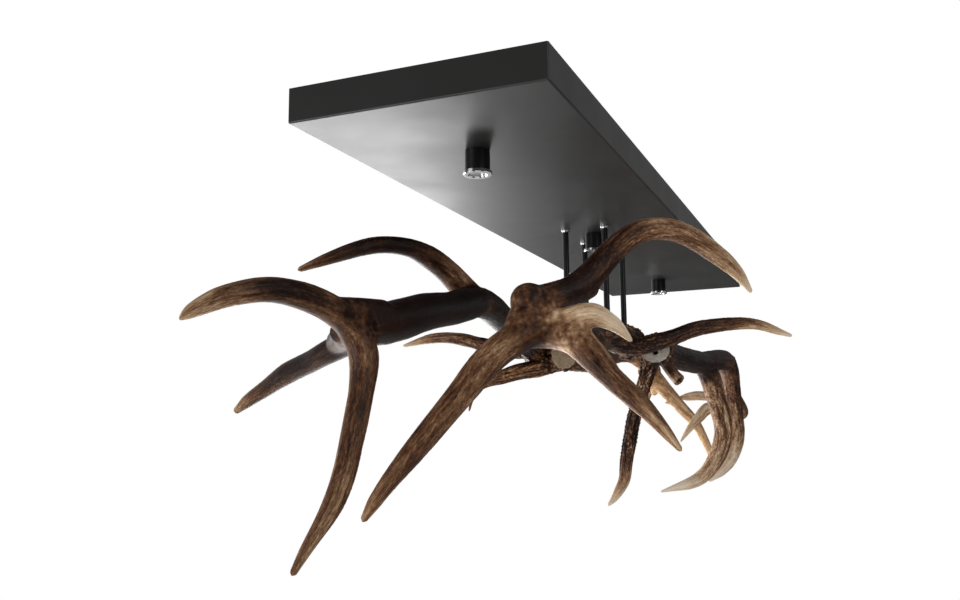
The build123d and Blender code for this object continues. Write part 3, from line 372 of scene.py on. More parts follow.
# %% The far antler on the right, dowelled to the near one
ANTLERS["far_right"] = {"origin": (0, -ROD_SIDE, RIGHT_LEVEL), "burr_radius": 26.0, "pearled": 22.0}
ANTLERS["far_right"]["drilled"] = {"aside": (0, 1, -5), "radius": 5.0, "depth": 9.0}
ANTLERS["far_right"]["limbs"] = [
    limb("beam", (0.3, 0.14, 0.07, 0.06, 0.1, 0.24), (1.5, 1.1, 0.6, 0.4, 0.4), [
        (37, -56, -17, 24), (75, -55, -18, 22.5), (148, -60, -20, 21.6), (242, -74, -22, 21),
        (338, -93, -18, 22), (412, -110, -10, 20), (428, -113, -12, 18)]),
    limb("brow", (0.22, 0.36, 0.38, 0.34, 0.4, 0.74, 1.0), (1.8, 1.9, 1.8, 1.6, 0.4, 0.0), [
        (55, -44, -27, 15.9), (55, -39, -46, 14.3), (54, -30, -74, 12), (51, -18, -108, 11.3),
        (48, -2, -178, 10.8), (46, 3, -207, 10.5), (45, 7, -232, 9.6), (41, 16, -250, 7.8),
        (36, 25, -264, 4.8), (32, 31, -271, 2.2)]),
    limb("tine", (0.26, 0.46, 0.52, 0.52, 0.58, 0.76, 0.94, 1.0), (0.6, 0.9, 0.9, 0.7, 0.3, 0.0), [
        (323, -84, -19, 20.4), (338, -93, -45, 19.7), (354, -98, -74, 19), (371, -105, -114, 17.9),
        (384, -107, -154, 17.2), (388, -100, -181, 17.2), (388, -87, -208, 15.9), (381, -62, -238, 13.6),
        (366, -35, -252, 10.3), (352, -10, -259, 5.8), (341, 10, -265, 2.2)]),
    limb("tine", (0.16, 0.36, 0.48, 0.54, 0.66, 0.78, 0.92, 1.0), (0.5, 0.8, 0.7, 0.4, 0.0), [
        (425, -113, -6, 18.3), (440, -117, -29, 17.8), (461, -116, -55, 17.3), (476, -116, -88, 17),
        (484, -118, -125, 16.4), (489, -118, -154, 16), (486, -111, -185, 15.5), (481, -97, -213, 14.2),
        (471, -81, -232, 10.5), (460, -64, -248, 3.3)]),
    limb("tine", (0.4, 0.5, 0.55, 0.6, 0.75, 0.9), (0.5, 0.5, 0.4, 0.3, 0.1), [
        (431, -108, -20, 15), (505, -109, -54, 13.5), (552, -114, -86, 13), (590, -115, -114, 11.5),
        (588, -90, -113, 12.6), (570, -47, -100, 13), (562, -34, -114, 11.7), (550, -19, -133, 8.8),
        (539, -5, -153, 5.1), (530, 5, -169, 2.1)]),
    limb("tine", (0.6, 0.66, 0.74, 0.8), (0.3, 0.2, 0.0), [
        (586, -104, -97, 11.5), (620, -72, -77, 11.5), (640, -32, -69, 10.5), (642, -10, -68, 10.4),
        (645, 10, -70, 8.8), (645, 23, -71, 4.3)]),
    limb("stub", (0.36, 0.62), (1.0, 0.8), [(98, -54, -25, 11), (101, -67, -50, 9.6), (94, -82, -67, 10.4)]),
]

# %% The far antler on the left, hung on two rods
ANTLERS["far_left"] = {"origin": (0, ROD_SIDE, LEFT_LEVEL), "burr_radius": 23.5, "pearled": 18.0}
ANTLERS["far_left"]["limbs"] = [
    limb("beam", (0.3, 0.36, 0.42, 0.5, 0.56), (1.3, 1.0, 0.5, 0.3, 0.2), [
        (-78, 0, -3, 22.5), (0, 0, 0, 23), (60, 0, 2, 22.5), (223, 2, 25, 20.3), (438, 7, 39, 20),
        (590, 7, 17, 19)]),
    limb("brow", (0.42, 0.46, 0.48, 0.5, 0.55, 0.55), (1.3, 1.2, 1.0, 0.6, 0.1), [
        (-42, 6, -8, 16), (-51, 16, -10, 15.8), (-70, 42, -20, 14.8), (-84, 73, -26, 13.4),
        (-93, 104, -35, 11.7), (-97, 125, -42, 8.4), (-96, 140, -51, 5.8), (-93, 153, -66, 3.7),
        (-90, 160, -86, 1.9)]),
    limb("tine", (0.66, 0.7, 0.62, 0.64, 0.72, 0.8), (0.2, 0.3, 0.2, 0.0), [
        (576, 12, 18, 20), (598, -4, -9, 18.5), (611, -27, -38, 14.8), (623, -53, -71, 13),
        (631, -76, -101, 11.4), (637, -91, -132, 9.8), (642, -104, -166, 7.5), (645, -110, -191, 3.5)]),
    limb("tine", (0.66, 0.7, 0.72, 0.8), (0.2, 0.2, 0.0), [
        (571, 17, 18, 19), (612, 24, -8, 18), (645, 42, -38, 14), (663, 62, -76, 10.5), (672, 78, -111, 5)]),
    limb("web", (0.66, 0.7), (0.2, 0.1), [(590, 8, 0, 16), (604, 6, -18, 14), (612, 10, -30, 8)]),
    limb("tine", (0.75, 0.85), (0.0, 0.0), [(621, -46, -54, 8), (612, -25, -55, 4.2), (608, -15, -54, 2.2)]),
]
print("limbs", {name: len(antler["limbs"]) for name, antler in ANTLERS.items()})

# %% [markdown]
# A limb needs a smooth centre line through its few points. A natural cubic spline gives the calmest curve,
# and even steps along it make the rings of the tube regular. Each ring's frame is carried along without
# twist, so that the grooves later run straight down the limb. The last rings close like a blunt fingertip,
# and the line first runs on past its last point, so that the closing doesn't cost the tip its length.

# %% A limb's centre line and rings
RING_STEP = 3.0
RING_SIDES = 28
SPLINE_SAMPLES = 600
TIP_EXTRA = 0.6
SMALLEST_TIP = 1.5


def spline_through(points):
    """Rows about RING_STEP apart along a natural cubic spline through the points, radius included."""
    knots = np.array(points, float)
    count = len(knots)
    spans = np.linalg.norm(np.diff(knots[:, :3], axis=0), axis=1)
    at = np.concatenate([[0.0], np.cumsum(spans)])
    system = np.eye(count)
    right_side = np.zeros_like(knots)
    for i in range(1, count - 1):
        system[i, i - 1:i + 2] = spans[i - 1], 2 * (spans[i - 1] + spans[i]), spans[i]
        right_side[i] = 6 * ((knots[i + 1] - knots[i]) / spans[i] - (knots[i] - knots[i - 1]) / spans[i - 1])
    bend = np.linalg.solve(system, right_side)
    fine = np.linspace(0, at[-1], SPLINE_SAMPLES)
    i = np.clip(np.searchsorted(at, fine, side="right") - 1, 0, count - 2)
    span = spans[i][:, None]
    a = (at[i + 1] - fine)[:, None] / span
    b = 1 - a
    line = a * knots[i] + b * knots[i + 1] + ((a**3 - a) * bend[i] + (b**3 - b) * bend[i + 1]) * span**2 / 6
    line[:, 3] = np.interp(fine, at, knots[:, 3])
    travelled = np.concatenate([[0.0], np.cumsum(np.linalg.norm(np.diff(line[:, :3], axis=0), axis=1))])
    steps = np.linspace(0, travelled[-1], max(8, int(travelled[-1] / RING_STEP)))
    return np.stack([np.interp(steps, travelled, line[:, column]) for column in range(4)], axis=1), steps


def carried_frames(centres):
    """The heading at each centre, and two directions across it that never twist."""
    heading = np.gradient(centres, axis=0)
    heading /= np.linalg.norm(heading, axis=1)[:, None]
    across = np.zeros_like(heading)
    side = np.cross(heading[0], (0.0, 0.0, 1.0))
    if np.linalg.norm(side) < 0.2:
        side = np.cross(heading[0], (0.0, 1.0, 0.0))
    for i, ahead in enumerate(heading):
        side = side - ahead * side.dot(ahead)
        side /= np.linalg.norm(side)
        across[i] = side
    return heading, across, np.cross(heading, across)


def shape_limb(written, origin):
    """A written limb as centres, radii, frames, tones and relief, in millimetres."""
    points = np.array(written["points"], float)
    closed = written["kind"] in ("tine", "brow", "knob", "web")
    if closed:
        ahead = points[-1, :3] - points[-2, :3]
        ahead *= (points[-1, 3] + TIP_EXTRA) / np.linalg.norm(ahead)
        points = np.vstack([points, [*(points[-1, :3] + ahead), points[-1, 3]]])
    rows, travelled = spline_through(points)
    centres = rows[:, :3] + np.array(origin)
    heading, across, up = carried_frames(centres)
    radii = rows[:, 3].copy()
    if closed:
        left = travelled[-1] - travelled
        last = max(radii[-1], SMALLEST_TIP)
        radii *= np.sqrt(np.clip(1 - (1 - np.clip(left / last, 0, 1)) ** 2, 0.02, 1))
    share = travelled / travelled[-1]
    tones = np.interp(share, np.linspace(0, 1, len(written["tones"])), written["tones"])
    relief = np.interp(share, np.linspace(0, 1, len(written["relief"])), written["relief"])
    return {"kind": written["kind"], "centres": centres, "radii": radii, "along": travelled,
            "heading": heading, "across": across, "up": up, "tones": tones, "relief": relief}


limb_sets = {name: [shape_limb(written, antler["origin"]) for written in antler["limbs"]]
             for name, antler in ANTLERS.items()}
limb_length = sum(each["along"][-1] for limbs in limb_sets.values() for each in limbs) * MM
print("metres of limb", round(limb_length, 2))

# %% [markdown]
# Noise makes bone look grown instead of turned. Value noise on a lattice is enough: a number at each corner
# of a grid, blended smoothly between. Scattered cells give the pearls. Both are computed from the place
# alone, so every run gives the same antler.

# %% Noise for the relief
CORNER_PRIMES = (73856093, 19349663, 83492791)
SEED_PRIME = 2654435761
MIXING_PRIME = 1274126177
LOW_BITS = 0xFFFFF
BEAD_STEEPNESS = 1.3


def lattice(corner, seed):
    """A number from 0 to 1 at each whole-number corner, always the same for the same corner."""
    mixed = np.full(len(corner), seed * SEED_PRIME)
    for axis, prime in enumerate(CORNER_PRIMES):
        mixed = mixed ^ (corner[:, axis] * prime)
    mixed = (mixed ^ (mixed >> 13)) * MIXING_PRIME
    return ((mixed ^ (mixed >> 16)) & LOW_BITS) / LOW_BITS


def value_noise(place, seed):
    """Smooth noise from 0 to 1 with features about one unit across."""
    corner = np.floor(place).astype(np.int64)
    part = place - corner
    part = part * part * (3 - 2 * part)
    total = np.zeros(len(place))
    for dx in (0, 1):
        for dy in (0, 1):
            for dz in (0, 1):
                weight = np.ones(len(place))
                for axis, step in enumerate((dx, dy, dz)):
                    weight *= part[:, axis] if step else 1 - part[:, axis]
                total += weight * lattice(corner + (dx, dy, dz), seed)
    return total


def layered_noise(place, seed, layers=3):
    """Value noise with finer layers added, still from 0 to 1."""
    total = np.zeros(len(place))
    for layer in range(layers):
        total += value_noise(place * 2.0**layer, seed + layer) / 2.0**layer
    return total / (2 - 2.0 ** (1 - layers))


def bead_height(place, seed):
    """Rounded beads about one unit across: 1 on a bead's top, 0 between beads."""
    corner = np.floor(place).astype(np.int64)
    nearest = np.full(len(place), 9.0)
    for dx in (-1, 0, 1):
        for dy in (-1, 0, 1):
            for dz in (-1, 0, 1):
                cell = corner + (dx, dy, dz)
                centre = np.stack([lattice(cell, seed + axis) for axis in range(3)], axis=1)
                nearest = np.minimum(nearest, ((cell + centre - place) ** 2).sum(axis=1))
    return np.clip(1 - np.sqrt(nearest) * BEAD_STEEPNESS, 0, 1)


# %% [markdown]
# The limbs are first separate tubes, pushed into each other, with a toothed ring at the burr. A voxel remesh
# turns them into one skin with even quads, and relaxing that skin where two limbs meet rounds the forks as
# they grow in nature.

# %% Tubes for the limbs
SKIN_VOXEL = 0.0013
LUMP_LENGTH = 38.0
LUMP_SHARE = 0.05
CORONET_HEIGHT = 11.0
CORONET_OVERHANG = 4.5
CORONET_SIDES = 120
TEETH_PER_RADIAN = 4.5
BURR_FACE = 1.5


def bridge_rings(mesh, rings):
    """Join rings of vertices with faces and close both ends."""
    count = len(rings[0])
    for ring, following in zip(rings, rings[1:]):
        for j in range(count):
            k = (j + 1) % count
            mesh.faces.new((ring[j], ring[k], following[k], following[j]))
    mesh.faces.new(list(reversed(rings[0])))
    mesh.faces.new(rings[-1])


def tube_into(mesh, one, seed):
    """Add a limb's tube to a bmesh, in metres, with slow swellings in its girth."""
    angles = np.linspace(0, 2 * math.pi, RING_SIDES, endpoint=False)
    rings = []
    for i, centre in enumerate(one["centres"]):
        out = np.cos(angles)[:, None] * one["across"][i] + np.sin(angles)[:, None] * one["up"][i]
        lump = value_noise((centre + 12 * out) / LUMP_LENGTH + seed * 7.3, seed) - 0.5
        ring = centre + out * (one["radii"][i] * (1 + 2 * LUMP_SHARE * lump))[:, None]
        rings.append([mesh.verts.new(point * MM) for point in ring])
    bridge_rings(mesh, rings)


def coronet_into(mesh, beam, radius):
    """Add the burr's ring: a thick disc with uneven teeth, square to the beam's start."""
    profile = [(-BURR_FACE, 0.8), (0.0, 0.93), (0.25, 1.0), (0.5, 0.99), (0.75, 0.94), (1.0, 0.8)]
    angles = np.linspace(0, 2 * math.pi, CORONET_SIDES, endpoint=False)
    out = np.cos(angles)[:, None] * beam["across"][0] + np.sin(angles)[:, None] * beam["up"][0]
    rings = []
    for height, share in profile:
        along = height if height < 0 else height * CORONET_HEIGHT
        rows = np.stack([angles * TEETH_PER_RADIAN, 0 * angles, 0 * angles + height * 1.5], axis=1)
        teeth = value_noise(rows, 5)
        reach = radius * share + CORONET_OVERHANG * (teeth - 0.35) * (height > 0) * (height < 1)
        ring = beam["centres"][0] + beam["heading"][0] * along + out * reach[:, None]
        rings.append([mesh.verts.new(point * MM) for point in ring])
    bridge_rings(mesh, rings)


# %% One skin from the tubes


def voxel_skin(name, mesh, voxel):
    """The outer skin of overlapping closed shapes, as one mesh of even quads."""
    bmesh.ops.recalc_face_normals(mesh, faces=mesh.faces)
    rough = bpy.data.meshes.new(name + "_rough")
    mesh.to_mesh(rough)
    mesh.free()
    holder = bpy.data.objects.new(name + "_rough", rough)
    bpy.context.scene.collection.objects.link(holder)
    remesh = holder.modifiers.new("skin", "REMESH")
    remesh.mode = "VOXEL"
    remesh.voxel_size = voxel
    graph = bpy.context.evaluated_depsgraph_get()
    skin = bpy.data.meshes.new_from_object(holder.evaluated_get(graph))
    bpy.data.objects.remove(holder)
    bpy.data.meshes.remove(rough)
    return skin


def places_in(mesh, what="co"):
    """A mesh's vertex places or normals as rows."""
    flat = np.empty(len(mesh.vertices) * 3)
    mesh.vertices.foreach_get(what, flat)
    return flat.reshape(-1, 3)


def relax(places, edges, weight, rounds):
    """Pull each vertex up to half-way to the middle of its neighbours, as far as its weight says."""
    ends = np.concatenate([edges[:, 0], edges[:, 1]])
    others = np.concatenate([edges[:, 1], edges[:, 0]])
    count = np.bincount(ends, minlength=len(places))[:, None]
    for _ in range(rounds):
        middle = np.stack([np.bincount(ends, places[others, axis], len(places)) for axis in range(3)], axis=1)
        places = places + weight[:, None] * 0.5 * (middle / count - places)
    return places


# %% [markdown]
# Each vertex then asks which limb it belongs to, how far along it stands and how far round. Where two limbs
# are about as near, it takes a share of both, so that neither the relief nor the colour has a seam. Knobs and
# webs only fill out a fork, so all of their surface counts as fork.

# %% Where each vertex stands on its limb
GRAIN_RADIUS = 14.0
SHARING_WIDTH = 4.0
FORK_WIDTH = 7.0


def nearest_on(one, places):
    """For each place: how far outside the limb, the nearest ring, and the grain place in millimetres."""
    best = np.full(len(places), 1e9)
    index = np.zeros(len(places), int)
    for i, (centre, radius) in enumerate(zip(one["centres"], one["radii"])):
        gap = np.sqrt(((places - centre) ** 2).sum(axis=1)) - radius
        closer = gap < best
        best[closer] = gap[closer]
        index[closer] = i
    off = places - one["centres"][index]
    x = (off * one["across"][index]).sum(axis=1)
    y = (off * one["up"][index]).sum(axis=1)
    z = (off * one["heading"][index]).sum(axis=1)
    reach = np.maximum(np.hypot(x, y), 1e-6)
    along = one["along"][index] + np.clip(z, -RING_STEP, RING_STEP)
    return best, index, np.stack([x / reach * GRAIN_RADIUS, y / reach * GRAIN_RADIUS, along], axis=1)


def limb_shares(places, limbs):
    """What nearest_on says for each limb, each limb's share of each vertex, and how deep in a fork it is."""
    found = [nearest_on(one, places) for one in limbs]
    gaps = np.stack([gap for gap, index, grain in found])
    closeness = np.exp(-(gaps - gaps.min(axis=0)) / SHARING_WIDTH)
    ordered = np.sort(gaps, axis=0)
    fork = np.exp(-np.maximum(0, ordered[1] - ordered[0]) / FORK_WIDTH)
    lumps = np.array([one["kind"] in ("knob", "web") for one in limbs])
    fork = np.where(lumps[gaps.argmin(axis=0)], 1.0, fork)
    return found, closeness / closeness.sum(axis=0), fork


# %% [markdown]
# Bone relief has two parts. Gutters are long dark lines, made where a stretched noise crosses its middle
# value. Beads are rounded cells that crowd together in patches. Both fade as the limb's own relief value
# falls. Each pattern's size is given round the limb, round it again, and along it, in millimetres.

# %% Relief along the limbs
GUTTER_DEPTH = 1.0
GUTTER_SIZE = (6.0, 6.0, 60.0)
GUTTER_SHARPNESS = 4.0
BEAD_RISE = 1.5
BEAD_SIZE = (3.2, 3.2, 5.0)
PATCH_SIZE = (16.0, 16.0, 50.0)
PIT_WALL = 1.2
PIT_SEARCH = 6.0


def relief_fields(limbs, found, shares, seed):
    """Height in millimetres, tone, relief value and grain place for every vertex."""
    count = shares.shape[1]
    height, tone, depth, raised = (np.zeros(count) for _ in range(4))
    grain = np.zeros((count, 3))
    nearest = shares.argmax(axis=0)
    for number, (one, (_, index, here)) in enumerate(zip(limbs, found)):
        own = shares[number]
        strength = one["relief"][index]
        gutters = layered_noise(here / GUTTER_SIZE + 11.0 * number + seed, seed + number, 2)
        gutters = np.clip(1 - np.abs(2 * gutters - 1) * GUTTER_SHARPNESS, 0, 1)
        beads = bead_height(here / BEAD_SIZE + 5.0 * number, seed + number)
        patches = layered_noise(here / PATCH_SIZE + 3.0 * number, seed + 40 + number)
        beads = beads * np.clip(patches * 3.2 - 1.1, 0, 1)
        height += own * strength * (BEAD_RISE * beads - GUTTER_DEPTH * gutters)
        raised += own * (0.5 + 0.5 * beads - 0.5 * gutters)
        tone += own * one["tones"][index]
        depth += own * strength
        grain[nearest == number] = here[nearest == number] + 37.0 * number
    return height, tone, depth, raised, grain


def sink_pit(places, mouth, inward, radius, depth):
    """Press a round hole into the skin, with a steep wall."""
    off = places - mouth
    along = off @ inward
    away = np.linalg.norm(off - along[:, None] * inward, axis=1)
    pressed = np.clip((radius - away) / PIT_WALL, 0, 1) * (np.abs(along) < PIT_SEARCH)
    return places + inward * (pressed * depth)[:, None], pressed


# %% [markdown]
# Everything comes together here, one antler at a time: tubes, skin, rounded forks, relief, burr face, drilled
# holes. The finished mesh carries its tone, its relief and its grain place at each vertex for the finish to
# read. Sizes are in millimetres, and shares are of the burr's radius or of a full tone.

# %% Grow the antlers
CALM_ROUNDS = 26
CALM_EVERYWHERE = 0.03
SAWN_SHARE = 0.88
RIM_SHARE = 0.78
RIM_FADE = 3
PEARL_SIZE = 5.4
PEARL_RISE = 2.8
PEARL_TONE = 0.14
PEARL_TOP_WEAR_AND_HIGHLIGHT = 0.6
STUB_PIT_RADIUS = 6.0
STUB_PIT_DEPTH = 11.0


def grow(name, antler, limbs, seed):
    """One antler's finished mesh, in the place of its solid."""
    mesh = bmesh.new()
    for number, one in enumerate(limbs):
        tube_into(mesh, one, seed + number)
    beam, burr = limbs[0], antler["burr_radius"]
    coronet_into(mesh, beam, burr)
    skin = voxel_skin(name, mesh, SKIN_VOXEL)
    places = places_in(skin) / MM
    edges = np.empty(len(skin.edges) * 2, int)
    skin.edges.foreach_get("vertices", edges)
    found, shares, fork = limb_shares(places, limbs)
    beam_start, inward = beam["centres"][0], beam["heading"][0]
    into_beam = (places - beam_start) @ inward
    from_axis = np.linalg.norm(places - beam_start - into_beam[:, None] * inward, axis=1)
    reach = antler["pearled"]
    at_burr = np.clip((reach - into_beam) / (0.5 * reach), 0, 1) * (into_beam > -9) * (from_axis < burr * 1.6)
    calm = np.clip(fork + CALM_EVERYWHERE - at_burr, 0, 1)
    places = relax(places, edges.reshape(-1, 2), calm, CALM_ROUNDS)

    height, tone, depth, raised, grain = relief_fields(limbs, found, shares, seed)
    sawn = np.clip((0.4 - into_beam) / 0.8, 0, 1) * (from_axis < burr * SAWN_SHARE) * (np.abs(into_beam) < 6)
    pearls = bead_height(places / PEARL_SIZE, seed + 90)
    rim = at_burr * np.clip((from_axis - burr * RIM_SHARE) / RIM_FADE, 0, 1)
    height = height * (1 - sawn) + rim * PEARL_RISE * pearls
    # Pearl tops are painted paler than the bone round them: partly worn bone, partly a painted highlight.
    tone = tone * (1 - rim) + rim * (PEARL_TONE + PEARL_TOP_WEAR_AND_HIGHLIGHT * pearls)
    hollow = np.zeros(len(places))
    skin.vertices.foreach_set("co", (places * MM).ravel())
    skin.update()
    places = places + places_in(skin, "normal") * height[:, None]
    if "drilled" in antler:
        drilled = antler["drilled"]
        mouth = beam_start + np.array(drilled["aside"], float) - inward * BURR_FACE
        places, hollow = sink_pit(places, mouth, inward, drilled["radius"], drilled["depth"])
        stub_end, into_stub = limbs[-1]["centres"][-1], -limbs[-1]["heading"][-1]
        places, pressed = sink_pit(places, stub_end, into_stub, STUB_PIT_RADIUS, STUB_PIT_DEPTH)
        hollow = np.maximum(hollow, pressed)
    skin.vertices.foreach_set("co", (places * MM).ravel())
    for label, values in (("tone", tone), ("raised", raised), ("depth", depth),
                          ("sawn", sawn), ("hollow", hollow), ("joined", fork)):
        skin.attributes.new(label, "FLOAT", "POINT").data.foreach_set("value", values.astype(np.float32))
    grain_data = skin.attributes.new("grain", "FLOAT_VECTOR", "POINT").data
    grain_data.foreach_set("vector", grain.astype(np.float32).ravel())
    skin.polygons.foreach_set("use_smooth", [True] * len(skin.polygons))
    skin.update()
    piece = bpy.data.objects.new("antler_" + name + "_bone", skin)
    bpy.context.scene.collection.objects.link(piece)
    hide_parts("antler_" + name)
    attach(piece, "fitting")
    return piece


antler_pieces = {}
for number, (name, antler) in enumerate(ANTLERS.items()):
    antler_pieces[name] = grow(name, antler, limb_sets[name], 17 * number + 3)
    print(name, len(antler_pieces[name].data.vertices), "vertices")

# %% [markdown]
# The finish follows the mesh values. One ramp runs from black bark through brown and gold to ivory, and the
# tone at each point picks the place on it. Broad bands, streaks along the grain and small flecks move that
# place up and down, most of all in the middle tones, while near-black beams and smooth points stay calm. The
# broad bands darken one side of a limb along its length: partly the bone's banding, partly painted shade.

# %% The antlers' finishes
BONE_RAMP = [
    (0.0, (0.009, 0.003, 0.0022)), (0.14, (0.024, 0.0082, 0.0042)), (0.32, (0.095, 0.038, 0.016)),
    (0.46, (0.19, 0.09, 0.042)), (0.6, (0.34, 0.19, 0.098)), (0.78, (0.62, 0.42, 0.25)),
    (1.0, (0.9, 0.74, 0.54)),
]
HOLE_PAINTED_SHADE = (0.01, 0.007, 0.005)
# The near pair's darker tones are partly their own darker bone and partly painted shade; the far pair's paler
# tones are partly painted light.
TINTS = {
    "near_right": ("antler_dark", (1.0, 1.0, 1.0)), "near_left": ("antler_dark", (0.96, 0.98, 1.0)),
    "far_right": ("antler_grey", (1.0, 1.04, 1.12)), "far_left": ("antler_gold", (1.04, 1.0, 0.9)),
}
SAWN_TONES = {
    "near_right": (0.3, 0.22, 0.14), "near_left": (0.3, 0.22, 0.14),
    "far_right": (0.5, 0.45, 0.38), "far_left": (0.4, 0.29, 0.18),
}


def centred(finish, value, reach):
    """A pattern from 0 to 1, moved to lie about zero and scaled to its reach."""
    return finish.sum("MULTIPLY", finish.sum("SUBTRACT", value, 0.5), reach)


def bone_finish(name, tint, sawn_tone):
    """Stained and worn bone, with painted shade in broad bands down one side of a limb and in the pits."""
    bone = Finish("antler_" + name, roughness=0.45)
    grain = bone.attribute("grain", "Vector")
    # Broad bands round a limb: partly the bone's own banding, partly painted shade down one side, laid by
    # noise.
    bands_and_side_shade = bone.noise(bone.stretch(grain, (0.05, 0.05, 0.007)), 1.0, detail=2.0)
    streaks = bone.noise(bone.stretch(grain, (0.28, 0.28, 0.04)), 1.0, detail=6.0, rough=0.7)
    flecks = bone.noise(bone.stretch(grain, (0.8, 0.8, 0.22)), 1.0, detail=4.0, rough=0.65)
    clouds = bone.noise(bone.place(), 30.0, detail=4.0, rough=0.6)
    pearls = bone.steps(bone.cells(bone.stretch(grain, (0.36, 0.36, 0.17)), 1.0), [(0.12, 1.0), (0.62, 0.0)])
    tone, depth = bone.attribute("tone"), bone.attribute("depth")
    mottle = bone.sum("ADD", centred(bone, bands_and_side_shade, 1.0), centred(bone, streaks, 1.15))
    mottle = bone.sum("ADD", mottle, centred(bone, flecks, 0.9))
    fine_clouds = bone.noise(bone.place(), 160.0, detail=5.0)
    spots = bone.sum("ADD", centred(bone, clouds, 0.9), centred(bone, fine_clouds, 1.0))
    mottle = bone.mix(bone.steps(bone.attribute("joined"), [(0.3, 0.0), (0.9, 1.0)]), mottle, spots)
    mottle = bone.sum("ADD", mottle, centred(bone, clouds, 0.5))
    spread = bone.sum("MULTIPLY", bone.sum("SUBTRACT", 1.0, tone), tone)
    spread = bone.sum("ADD", bone.sum("MULTIPLY", spread, 3.4), 0.08)
    worn = bone.sum("ADD", centred(bone, bone.attribute("raised"), 0.55), centred(bone, pearls, 0.2))
    place = bone.sum("ADD", tone, bone.sum("MULTIPLY", mottle, spread))
    place = bone.sum("ADD", place, bone.sum("MULTIPLY", worn, depth))
    shade = bone.mix(1.0, bone.steps(place, BONE_RAMP), tint, how="MULTIPLY")
    rings = bone.noise(bone.place(), 260.0, detail=3.0)
    sawn_shadow = tuple(0.6 * part for part in sawn_tone)
    face = bone.mix(bone.steps(rings, [(0.3, 0.0), (0.7, 1.0)]), sawn_shadow, sawn_tone)
    shade = bone.mix(bone.attribute("sawn"), shade, face)
    # The drilled hole and the stub's pit are painted near black: painted shade inside the recesses.
    shade = bone.mix(bone.attribute("hollow"), shade, HOLE_PAINTED_SHADE)
    bone.colour(shade)
    bone.roughness(bone.steps(place, [(0.1, 0.42), (0.45, 0.55), (0.9, 0.38)]))
    bone.shader.inputs["Specular IOR Level"].default_value = 0.2
    ridges = bone.sum("ADD", bone.sum("MULTIPLY", flecks, 0.6), bone.sum("MULTIPLY", streaks, 0.6))
    bone.bump(bone.sum("MULTIPLY", ridges, bone.sum("ADD", depth, 0.15)), 0.0016, 0.6)
    return bone


for name, piece in antler_pieces.items():
    slot_name, tint = TINTS[name]
    piece.data.materials.append(bone_finish(name, tint, SAWN_TONES[name]).material)

# %% [markdown]
# The room is plain: a white world that the camera sees as pure white and a pale floor far below. What the
# pan's satin paint mirrors is set apart from the light itself: darker low down, brighter above, and white
# towards one big soft light low on the left. A second light from that side models the tines and stays out of
# the mirror. Two weak ones in front fill the shadows.

# %% The white room
AMBIENT = 0.32
LOW_ROOM = 0.04
HIGH_ROOM = 0.24
HORIZON_BLUR = 0.15
BRIGHT_SIDE = (0.45, 0.86, -0.24)
BRIGHT_FADE = (0.66, 0.94)

world = bpy.data.worlds.new("white_room")
bpy.context.scene.world = world
world.use_nodes = True
nodes, links = world.node_tree.nodes, world.node_tree.links


def glow(level):
    """A background shader of one grey level."""
    node = nodes.new("ShaderNodeBackground")
    node.inputs["Color"].default_value = (level, level, level, 1.0)
    return node.outputs["Background"]


def smooth_share(value, start, end):
    """0 below the start, 1 above the end, smooth between."""
    node = nodes.new("ShaderNodeMapRange")
    node.interpolation_type = "SMOOTHSTEP"
    node.inputs["From Min"].default_value = start
    node.inputs["From Max"].default_value = end
    links.new(value, node.inputs["Value"])
    return node.outputs["Result"]


def blend(share, first, second):
    """One background fading into another."""
    node = nodes.new("ShaderNodeMixShader")
    links.new(share, node.inputs["Fac"])
    links.new(first, node.inputs[1])
    links.new(second, node.inputs[2])
    return node.outputs["Shader"]


direction = nodes.new("ShaderNodeTexCoord")
facing = nodes.new("ShaderNodeVectorMath")
facing.operation = "DOT_PRODUCT"
facing.inputs[1].default_value = BRIGHT_SIDE
links.new(direction.outputs["Generated"], facing.inputs[0])
parts = nodes.new("ShaderNodeSeparateXYZ")
links.new(direction.outputs["Generated"], parts.inputs["Vector"])
above = smooth_share(parts.outputs["Z"], -HORIZON_BLUR, HORIZON_BLUR)
low_to_high = blend(above, glow(LOW_ROOM), glow(HIGH_ROOM))
mirrored = blend(smooth_share(facing.outputs["Value"], *BRIGHT_FADE), low_to_high, glow(1.0))

rays = nodes.new("ShaderNodeLightPath")
seen = nodes.new("ShaderNodeMath")
seen.operation = "MAXIMUM"
links.new(rays.outputs["Is Camera Ray"], seen.inputs[0])
links.new(rays.outputs["Is Transmission Ray"], seen.inputs[1])
lighting = blend(rays.outputs["Is Glossy Ray"], glow(AMBIENT), mirrored)
white_seen = blend(seen.outputs["Value"], lighting, glow(1.0))
links.new(white_seen, nodes["World Output"].inputs["Surface"])

# %% [markdown]
# The floor lies far below the lamp, where little light reaches it. The camera sees half of its colour as it
# is painted, whatever the light, and half as it is lit, so it stays pale and still keeps a shadow.

# %% The pale floor
FLOOR_LEVEL = -2.4
FLOOR_REACH = 6.0
FLOOR_LIFT = 0.5

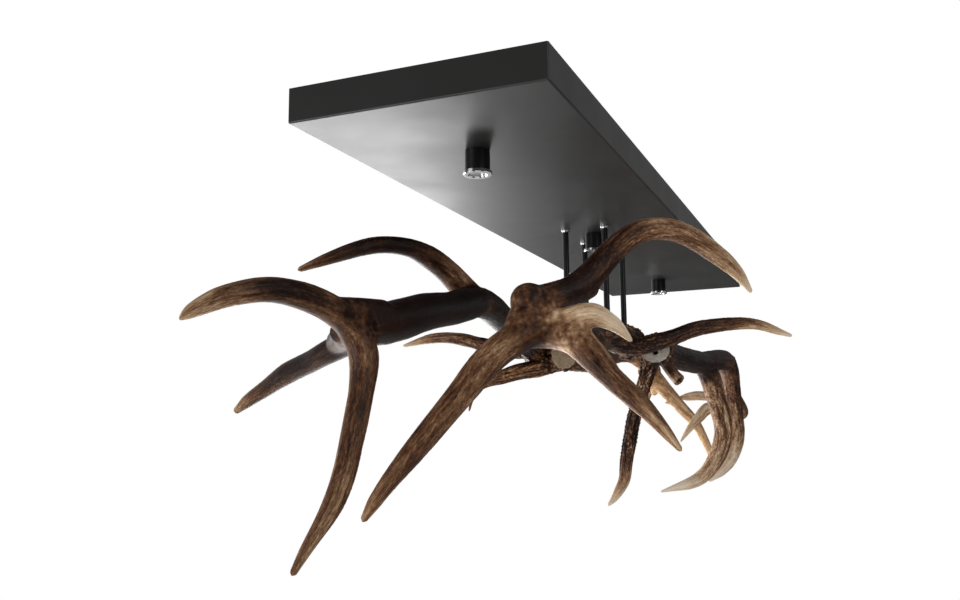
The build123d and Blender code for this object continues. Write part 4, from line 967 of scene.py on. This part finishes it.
floor_mesh = bmesh.new()
bmesh.ops.create_grid(floor_mesh, x_segments=1, y_segments=1, size=FLOOR_REACH)
floor_data = bpy.data.meshes.new("pale_floor")
floor_mesh.to_mesh(floor_data)
floor_mesh.free()
floor = bpy.data.objects.new("pale_floor", floor_data)
floor.location = (0.0, 0.0, FLOOR_LEVEL)
bpy.context.scene.collection.objects.link(floor)
floor_finish = Finish("pale_floor", roughness=0.8)
floor_tone = floor_finish.cloudy(2.0, 0.8, 0.84)
floor_finish.colour(floor_tone)
seen_floor = floor_finish.nodes.new("ShaderNodeEmission")
floor_finish.feed(seen_floor.inputs["Color"], floor_tone)
choice = floor_finish.nodes.new("ShaderNodeMixShader")
camera_ray = floor_finish.nodes.new("ShaderNodeLightPath").outputs["Is Camera Ray"]
floor_finish.links.new(floor_finish.sum("MULTIPLY", camera_ray, FLOOR_LIFT), choice.inputs["Fac"])
floor_finish.links.new(floor_finish.shader.outputs["BSDF"], choice.inputs[1])
floor_finish.links.new(seen_floor.outputs["Emission"], choice.inputs[2])
floor_finish.links.new(choice.outputs["Shader"], floor_finish.nodes["Material Output"].inputs["Surface"])
floor.data.materials.append(floor_finish.material)

# %% Soft lights


def soft_light(name, place, target, size, power):
    """A soft rectangular light that faces a target and isn't seen itself."""
    data = bpy.data.lights.new(name, "AREA")
    data.shape = "RECTANGLE"
    data.size, data.size_y = size
    data.energy = power
    lamp = bpy.data.objects.new(name, data)
    lamp.location = place
    lamp.rotation_euler = (Vector(target) - Vector(place)).to_track_quat("-Z", "Y").to_euler()
    lamp.visible_camera = False
    bpy.context.scene.collection.objects.link(lamp)
    return lamp


soft_light("low_left", (2.01, 3.04, -1.52), (-0.2, 0.0, -0.15), (4.0, 2.4), 138.0)
side_light = soft_light("side_left", (0.5, 2.6, -0.9), (0.2, 0.0, -0.35), (1.2, 1.2), 50.0)
side_light.visible_glossy = False
soft_light("front_left", (-2.6, 1.6, -0.9), (-0.3, 0.0, -0.3), (1.6, 1.6), 34.0)
soft_light("front_right", (-1.6, -2.4, 0.4), (-0.1, 0.0, -0.3), (1.4, 1.4), 14.0)
